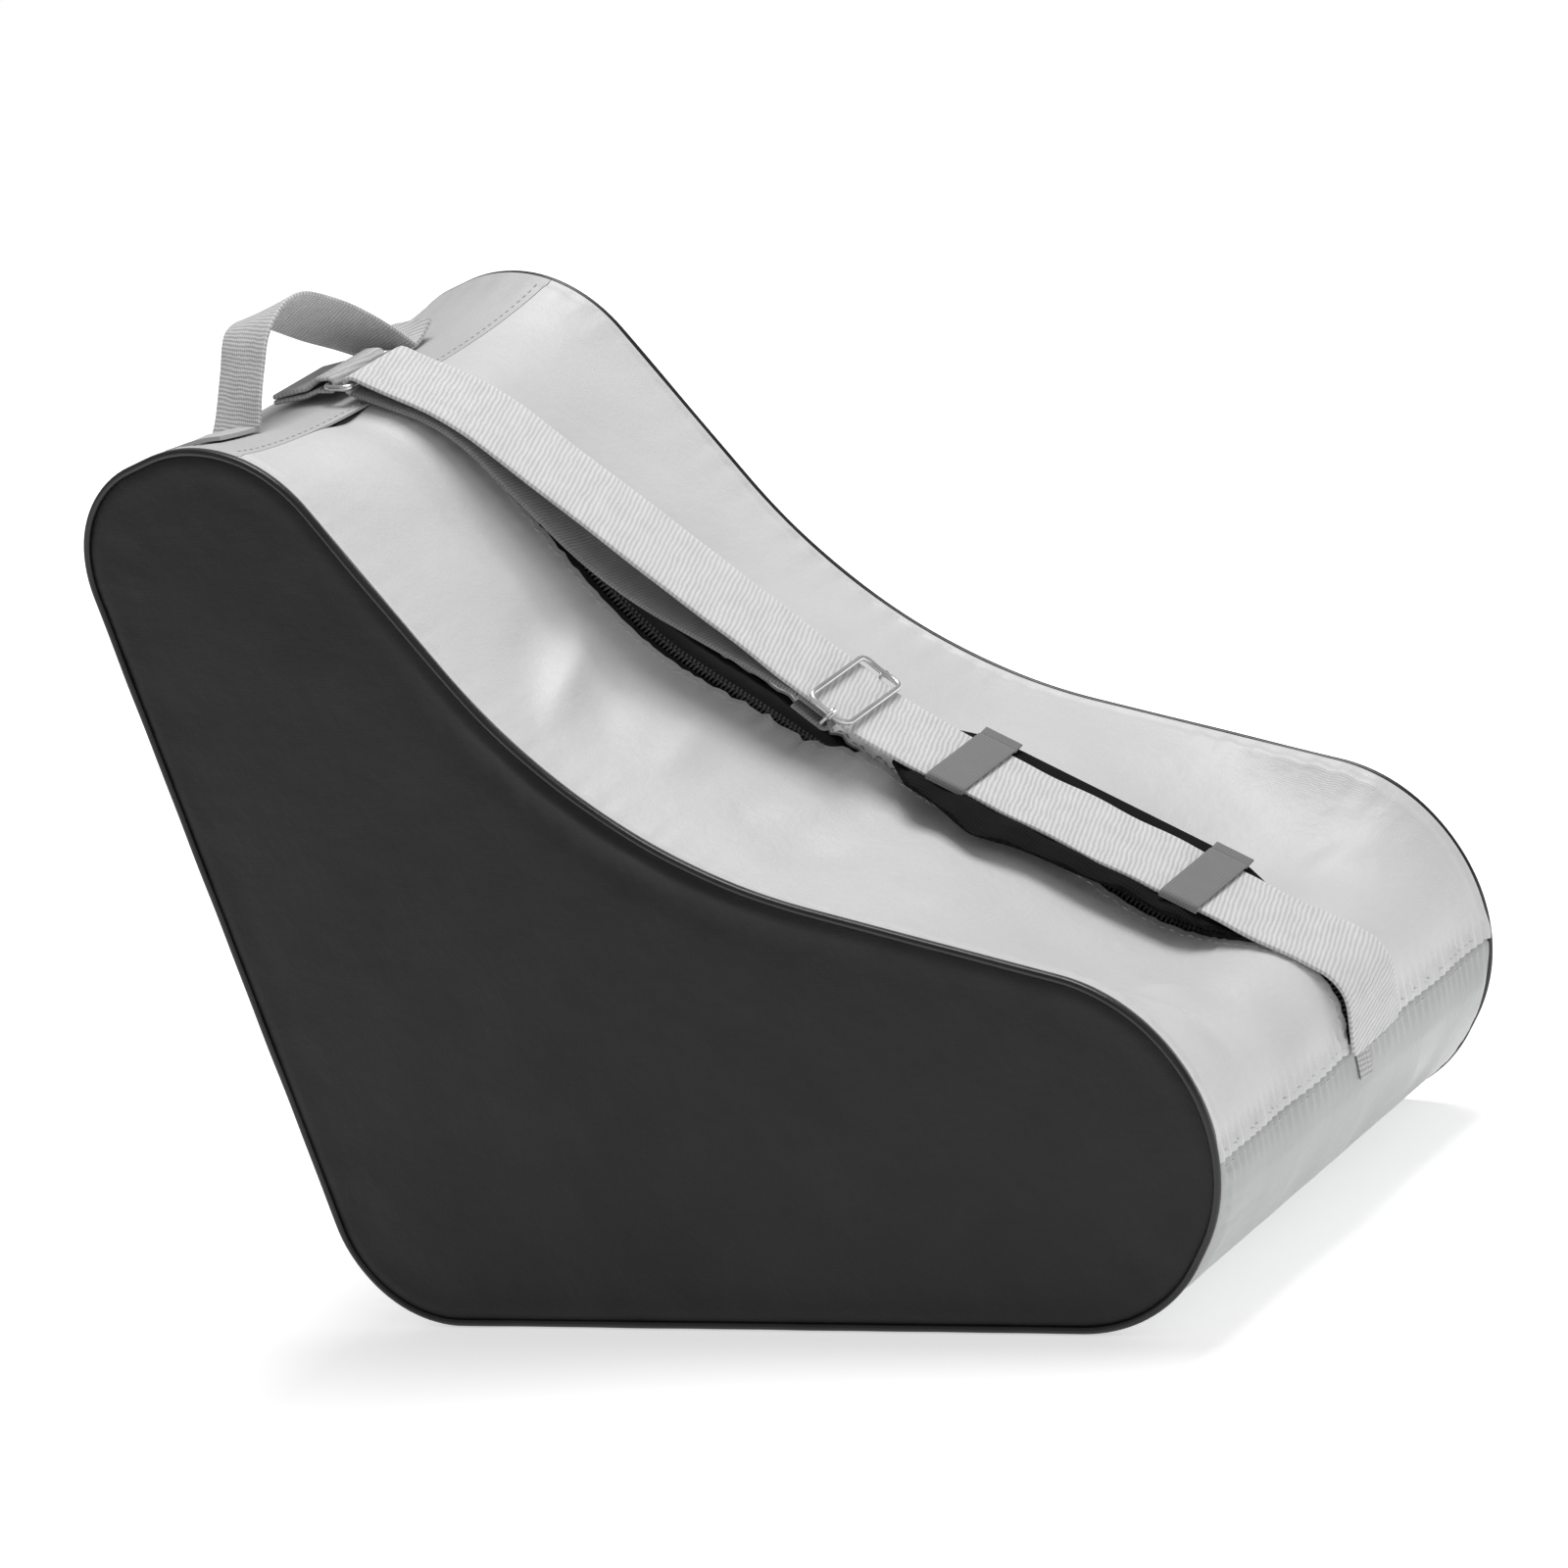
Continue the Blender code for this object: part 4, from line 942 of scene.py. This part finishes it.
def frame_at(origin, along, y=0.0):
    axis_x = Vector((along.x, 0, along.y))
    axis_y = Vector((0, 1, 0))
    axis_z = axis_x.cross(axis_y)
    turn = Matrix((axis_x, axis_y, axis_z)).transposed().to_4x4()
    return Matrix.Translation((origin.x, y, origin.y)) @ turn


def arc(centre, radius, first, last, steps=12):
    return [
        (centre[0] + radius * cos(first + (last - first) * i / steps),
         centre[1] + radius * sin(first + (last - first) * i / steps))
        for i in range(steps + 1)
    ]


def rounded(corners, radius, steps=6):
    """Corner points of a closed outline with fillets."""
    points = []
    count = len(corners)
    for i in range(count):
        before, corner, after = (Vector(corners[(i + k) % count]) for k in (-1, 0, 1))
        piece_arc = corner_arc(before, corner, after, radius)
        points += [tuple(Route.arc_point(piece_arc, j / steps)) for j in range(steps + 1)]
    return points


# Tri-glide: a wire frame with a centre bar whose ends are wound round its sides
glide_place = STRAP_PLACE @ frame_at(glide_middle, strap_down)
glide_top = STRAP / 2 + GAP + GLIDE_WIRE
glide_half = STRAP_WIDTH / 2 + 0.0018
reach = 0.008  # half the frame's length
corners = [(-reach, -glide_half), (reach, -glide_half), (reach, glide_half), (-reach, glide_half)]
outline = rounded(corners, 0.0030)
bowed = []
for x, y in even(outline + outline[:1], 0.0015)[:-1]:
    bowed.append((x, y, glide_top + 0.0006 * (abs(x) / reach) ** 2 - 0.0003))
mesh = tube("glide_wire", placed(bowed, glide_place), GLIDE_WIRE * 0.92, 12, closed=True)
piece("glide_wire", mesh, STEEL, "triglide", "triglide_frame", slot="steel")
bar = []
for side in (-1, 1):
    wound = []
    for i in range(22 if side < 0 else 7):
        angle = 2 * pi * i / 12
        wound.append(
            (
                0.0006 + 0.00110 * i / 12,
                side * (glide_half + (GLIDE_WIRE + 0.0005) * -cos(angle)),
                glide_top + (GLIDE_WIRE + 0.0005) * -sin(angle),
            )
        )
    bar.append(wound)
path = bar[0][::-1] + [(0.0006, -glide_half + 0.0003, glide_top - 0.0030)]
path += [(0.0, -glide_half, -bar_depth + 0.0010), (0.0, -glide_half + 0.0010, -bar_depth)]
path += [(0.0, glide_half - 0.0010, -bar_depth), (0.0, glide_half, -bar_depth + 0.0010)]
path += [(0.0006, glide_half - 0.0003, glide_top - 0.0030)] + bar[1]
mesh = tube("glide_bar_wire", placed(even(path, 0.0006), glide_place), 0.00065, 10)
piece("glide_bar_wire", mesh, STEEL, "triglide", "triglide_bar", slot="steel")
fold_path = [(-0.0120, glide_wrap - bar_depth)]
fold_path += [(x, z - bar_depth) for x, z in arc((0.0, 0.0), glide_wrap, pi / 2, -pi / 2)]
fold_path += [(-0.0120, -glide_wrap - bar_depth)]
mesh = flat_band("glide_fold_webbing", glide_place, even(fold_path, 0.0007), STRAP_WIDTH, STRAP)
piece("glide_fold_webbing", mesh, RETURN_PAINTED_SHADE, "triglide", "strap_fold", slot="pale_webbing")

# ---- ring and tab

ring_along = (front_bar - rear_bar).normalized()
ring_length = (front_bar - rear_bar).length
ring_place = STRAP_PLACE @ frame_at(rear_bar, ring_along)
ring_half = (STRAP_WIDTH + 4 * GAP + 2 * RING_WIRE) / 2
corners = [(0.0, -ring_half), (ring_length, -ring_half), (ring_length, ring_half), (0.0, ring_half)]
outline = rounded(corners, 0.0020)
ring_line = [(x, y, 0.0) for x, y in even(outline + outline[:1], 0.0012)[:-1]]
mesh = tube("ring_wire", placed(ring_line, ring_place), RING_WIRE, 12, closed=True)
piece("ring_wire", mesh, STEEL, "ring", "strap_ring", slot="steel")

tab_tip = over(RING_FRONT + BARS_APART + TAB_LENGTH, 0.0015)
tab_local = frame_at(rear_bar, ring_along).inverted() @ Vector((tab_tip.x, 0, tab_tip.y))
tip = (tab_local.x, tab_local.z)
tab_path = [(tip[0], tip[1] + 0.9 * STRAP), (-0.0100, tip[1] * 0.30 - TAB_WRAP + 0.0004)]
tab_path += [(-0.0050, -TAB_WRAP)]
tab_path += arc((0.0, 0.0), TAB_WRAP, -pi / 2, pi / 2)
tab_path += [(-0.0045, TAB_WRAP - 0.0004), (-0.0090, tip[1] * 0.22 + 0.0003), (tip[0], tip[1] + 2.1 * STRAP)]
mesh = flat_band("tab_webbing", ring_place, even(tab_path, 0.0007), TAB_WIDTH, STRAP)
piece("tab_webbing", mesh, TAB, "bag", "ring_tab", slot="grey_webbing")

# ---- shoulder pad

pad_middle = pad_bend + pad_down * 0.0720
pad_place = STRAP_PLACE @ frame_at(pad_middle, pad_down)
PAD_HALF, PAD_THICK = 0.0650, 0.0042
pad_top = -STRAP / 2 - GAP
xs = np.linspace(-PAD_HALF, PAD_HALF, 90)
share = np.linspace(-1, 1, 31)
wavy = waves(61, 4, 0.018, 0.040)
end_in = np.clip((PAD_HALF - np.abs(xs)) / 0.020, 0, 1)
# The near margin is wider than the far one and its edge is wavy: the pad's black side seen from the near
# side, and partly a black band standing in for the ragged shadow under that edge (painted shadow).
margin_at = (-0.065, -0.055, -0.040, -0.025, -0.010, 0.005, 0.020, 0.040, 0.055, 0.065)
margin_is = (-0.004, 0.0055, 0.0110, 0.0145, 0.0112, 0.0078, 0.0062, 0.0048, 0.0030, -0.004)
near_width = 0.01725 + np.interp(xs, margin_at, margin_is) + 0.0008 * wavy(xs) * end_in
far_width = 0.0150 + 0.0098 * end_in**0.5
x, s = np.meshgrid(xs, share, indexing="ij")
y = s * np.where(s < 0, near_width[:, None], far_width[:, None])
inside = np.clip((STRAP_WIDTH / 2 - np.abs(y)) / 0.004 + 0.5, 0, 1)
margin = np.clip(1 - np.abs(s), 0, 1)
swell = 1 - np.exp(-margin / 0.10)
top = pad_top + 0.0012 * swell * (1 - inside) - 0.0009 * (1 - swell)
top = top - 0.0006 * np.exp(-(((np.abs(s) - 0.86) / 0.03) ** 2)) - 0.0010 * (1 - end_in[:, None]) ** 2
under = top - (0.0012 + (PAD_THICK - 0.0016) * swell * np.sqrt(end_in[:, None] + 0.05))
under = np.maximum(under, pad_top - PAD_THICK)
# Only the near margin's top is waved: part of the painted shadow along that edge.
top = top + np.where(y < 0, 0.0004 * wavy(x * 1.7) * (1 - inside) * end_in[:, None], 0.0)
curl = 0.0012 * np.clip((y - 0.0175) / 0.006, 0, 1) * end_in[:, None]
top, under = top + curl, under + curl
outer, lower = (placed(np.stack([x, y, z], -1).reshape(-1, 3), pad_place) for z in (top, under))
cloth = np.stack([x, y], -1).reshape(-1, 2)
both = np.concatenate([outer, lower])
mesh = mesh_of("pad_cushion", both, sheet_faces(*x.shape), np.concatenate([cloth, cloth]))
pad = piece("pad_cushion", mesh, PAD_CLOTH, "pad", "shoulder_pad", slot="pad_cloth")

BAND_WIDTH, BAND, BAND_CLEARANCE = 0.0140, 0.0008, 0.0007
band_low = pad_top + GAP + BAND / 2
band_high = STRAP / 2 + BAND_CLEARANCE + BAND / 2
knee = STRAP_WIDTH / 2 + BAND_CLEARANCE + BAND / 2
band_path = [(-knee - 0.0006, band_low + 0.0002)]
band_path += arc((-knee + 0.0006, band_high - 0.0010), 0.0009, pi, pi / 2, 6)
band_path += arc((knee - 0.0006, band_high - 0.0010), 0.0009, pi / 2, 0, 6)
band_path = even(band_path + [(knee + 0.0014, band_low + 0.0018), (0.0232, band_low + 0.0024)], 0.0007)
for way, word in ((-1, "upper"), (1, "lower")):
    where = pad_place @ Matrix.Translation((way * 0.0435, 0, 0))
    mesh = flat_band(f"band_webbing_{word}", where, band_path, BAND_WIDTH, BAND, 8, wide="x")
    piece(f"band_webbing_{word}", mesh, BAND_CLOTH, "pad", f"pad_band_{word}", slot="grey_band")

# ---- handle

HANDLE_WIDTH, HANDLE = 0.0245, 0.0015
HANDLE_RIGHT, HANDLE_LEFT, HANDLE_LEAN = 0.0545, 0.0360, 9.0
HANDLE_STATION = CREST + 0.0120
normal = OUTLINE.at(HANDLE_STATION)[1]
handle_place = frame_at(over(HANDLE_STATION, 0.0, HANDLE_RIGHT), Vector((normal[1], -normal[0])))
handle_place = handle_place @ Matrix.Rotation(radians(HANDLE_LEAN), 4, "Y")
# The loop's middle line, y and z, with the way its width points: its angle from X about Z, and its rise
LOOP = (
    (-HANDLE_RIGHT, 0.0008, -13.0, 0.0),
    (-0.0512, 0.0050, -16.0, 0.0),
    (-0.0470, 0.0110, -18.0, 0.0),
    (-0.0415, 0.0186, -18.0, 0.0),
    (-0.0358, 0.0262, -15.0, 2.0),
    (-0.0300, 0.0306, -9.0, 6.0),
    (-0.0220, 0.0324, -4.0, 12.0),
    (-0.0140, 0.0312, 0.0, 18.0),
    (-0.0050, 0.0268, 0.0, 23.0),
    (0.0090, 0.0185, 0.0, 24.0),
    (0.0240, 0.0088, 0.0, 14.0),
    (HANDLE_LEFT, 0.0, 0.0, 3.0),
)


def smooth(rows, count):
    """Catmull-Rom through rows of numbers."""
    rows = np.asarray(rows, float)
    padded_rows = np.concatenate([[2 * rows[0] - rows[1]], rows, [2 * rows[-1] - rows[-2]]])
    marks = np.linspace(0, len(rows) - 1, count)
    found = []
    for mark in marks:
        i = min(int(mark), len(rows) - 2)
        t = mark - i
        a, b, c, d = padded_rows[i : i + 4]
        bent = (2 * a - 5 * b + 4 * c - d) * t**2 + (3 * b - a - 3 * c + d) * t**3
        found.append(0.5 * (2 * b + (c - a) * t + bent))
    return np.array(found)


loop = smooth(LOOP, 90)
points = np.column_stack([np.zeros(len(loop)), loop[:, :2]])
ahead = unit(np.gradient(points, axis=0))
angle, rise = np.radians(loop[:, 2:]).T
sides = np.stack([np.cos(angle) * np.cos(rise), np.sin(angle) * np.cos(rise), np.sin(rise)], -1)
sides -= ahead * (sides * ahead).sum(1, keepdims=True)
sides = unit(sides)
ups = np.cross(ahead, sides)
turn = np.array(handle_place.to_3x3())
points = placed(points, handle_place)
sides, ups = sides @ turn.T, ups @ turn.T
mesh = band("handle_webbing_loop", points, sides, ups, HANDLE_WIDTH, HANDLE, 10, crown=0.0003)
handle = piece(
    "handle_webbing_loop", mesh, HANDLE_CLOTH, None, "handle_loop", "handle_root_right", "handle_root_left",
    slot="handle_webbing",
)
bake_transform(handle)

for side, word, leg, length in ((-1, "right", HANDLE_RIGHT, 0.0220), (1, "left", HANDLE_LEFT, 0.0130)):
    ys = np.linspace(*sorted((side * (leg - 0.0004), side * (leg + length))), 12)
    d, y = np.meshgrid(np.linspace(HANDLE_STATION - 0.0123, HANDLE_STATION + 0.0123, 12), ys, indexing="ij")
    lifted = 0.0045 * np.clip((y - 0.038) / 0.011, 0, 1) ** 1.5
    grid = surface(d, y, np.maximum(skin(d, y), 0) + 0.0022 + lifted)
    mesh = slab(f"handle_end_webbing_{word}", grid[::-1], 0.0014, np.stack([y, d], -1)[::-1])
    # The right end is drawn in the cap's colour, with the cap's painted shade.
    look = CAP_PAINTED_SHADE if side < 0 else HANDLE_CLOTH
    piece(f"handle_end_webbing_{word}", mesh, look, "bag", f"handle_end_{word}", slot="handle_webbing")

# ---- zip ends and carried-over nodes

nodes = frame["nodes"]
for name, look in (
    ("side_foam_right", FOAM),
    ("side_foam_left", FOAM),
    ("side_lining_right", INNER),
    ("side_lining_left", INNER),
    ("seam_binding_right", TAPE),
    ("seam_binding_left", TAPE),
    ("base_board", BOARD),
    ("zip_stop_bottom", STEEL),
    ("zip_stop_top", STEEL),
    ("zip_slider", DARK_METAL),
    ("zip_pull", DARK_METAL),
):
    nodes[name].data.materials.clear()
    nodes[name].data.materials.append(look)

# ---- stitching


def line_on(distances, y, height, skin_of=front_skin):
    points = surface(distances, y, skin_of(distances, y) + height)
    more = surface(distances, y, skin_of(distances, y) + height + 0.001)
    return points, (more - points) / 0.001


for side, word in ((-1, "right"), (1, "left")):
    d = np.arange(TOE_SEAM + 0.004, TOP_SEAM - 0.002, 0.0015)
    wobble = side * (ZIP_OPENING + 0.0026) + 0.0002 * zip_wave[side](d)
    spots, ups = line_on(d, wobble, 0.0)
    spots = surface(d, drawn_back(d, wobble), front_skin(d, wobble))
    stitches(f"zip_stitching_{word}", spots, ups, SILVER_THREAD, "bag", slot="silver_nylon")
y = np.arange(-GUSSET_HALF + 0.003, GUSSET_HALF - 0.003, 0.0015)
for offset, name in ((0.0030, "toe_stitching"), (-0.0024, "toe_stitching_lower")):
    d = np.full(len(y), TOE_SEAM + offset)
    skin_of = front_skin if offset > 0 else (lambda d, y: np.minimum(skin(d, y), 0.0002))
    stitches(name, *line_on(d, y, -0.0001, skin_of), SEAM_THREAD, "bag", radius=0.0002, slot="silver_nylon")
d = np.full(len(y), TOP_SEAM + 0.0026)
stitches("top_stitching", *line_on(d, y, 0.0, skin), SILVER_THREAD, "bag", slot="silver_nylon")

# ---- stage, light and camera

floor_mesh = bpy.data.meshes.new("floor")
floor_mesh.from_pydata([(-6, -6, 0), (6, -6, 0), (6, 6, 0), (-6, 6, 0)], [], [(0, 1, 2, 3)])
floor = bpy.data.objects.new("floor", floor_mesh)
bpy.context.scene.collection.objects.link(floor)
floor.location.z = -0.0002
floor_look = Look("floor_white", 0.93, 0.9, IOR=1.3)
floor_look.shader.inputs["Emission Color"].default_value = (1, 1, 1, 1)
floor_look.shader.inputs["Emission Strength"].default_value = 0.50
floor_mesh.materials.append(floor_look.made)

world = bpy.data.worlds.new("studio")
world.use_nodes = True
world.node_tree.nodes["Background"].inputs[0].default_value = (1, 1, 1, 1)
world.node_tree.nodes["Background"].inputs[1].default_value = 0.40
bpy.context.scene.world = world
bpy.context.scene.view_settings.view_transform = "Standard"


def lamp(name, place, aim, size, power):
    light = bpy.data.lights.new(name, "AREA")
    light.shape = "RECTANGLE"
    light.size, light.size_y = size
    light.energy = power
    made = bpy.data.objects.new(name, light)
    bpy.context.scene.collection.objects.link(made)
    made.location = place
    made.rotation_euler = (Vector(aim) - Vector(place)).to_track_quat("-Z", "Y").to_euler()
    return made


lamp("key_light", (0.08, 0.62, 2.3), (0.0, 0.0, 0.12), (1.2, 1.2), 45.0)
lamp("side_light", (1.6, -0.9, 1.2), (0.0, 0.0, 0.12), (0.7, 0.7), 1.6)

camera_data = bpy.data.cameras.new("camera")
camera_data.sensor_width = 36.0
camera_data.lens = 172.51
camera_data.clip_end = 50.0
camera = bpy.data.objects.new("camera", camera_data)
bpy.context.scene.collection.objects.link(camera)
azimuth, elevation, roll = radians(35.03), radians(16.17), radians(13.03)
back = Vector((sin(azimuth) * cos(elevation), -cos(azimuth) * cos(elevation), sin(elevation)))
right = Vector((cos(azimuth), sin(azimuth), 0.0))
up = Vector((-sin(azimuth) * sin(elevation), cos(azimuth) * sin(elevation), cos(elevation)))
camera_x = right * cos(roll) - up * sin(roll)
camera_y = right * sin(roll) + up * cos(roll)
camera.matrix_world = Matrix.Translation(Vector((-0.0067, 0.0, 0.1529)) + back * 2.47) @ (
    Matrix((camera_x, camera_y, back)).transposed().to_4x4()
)
bpy.context.scene.camera = camera
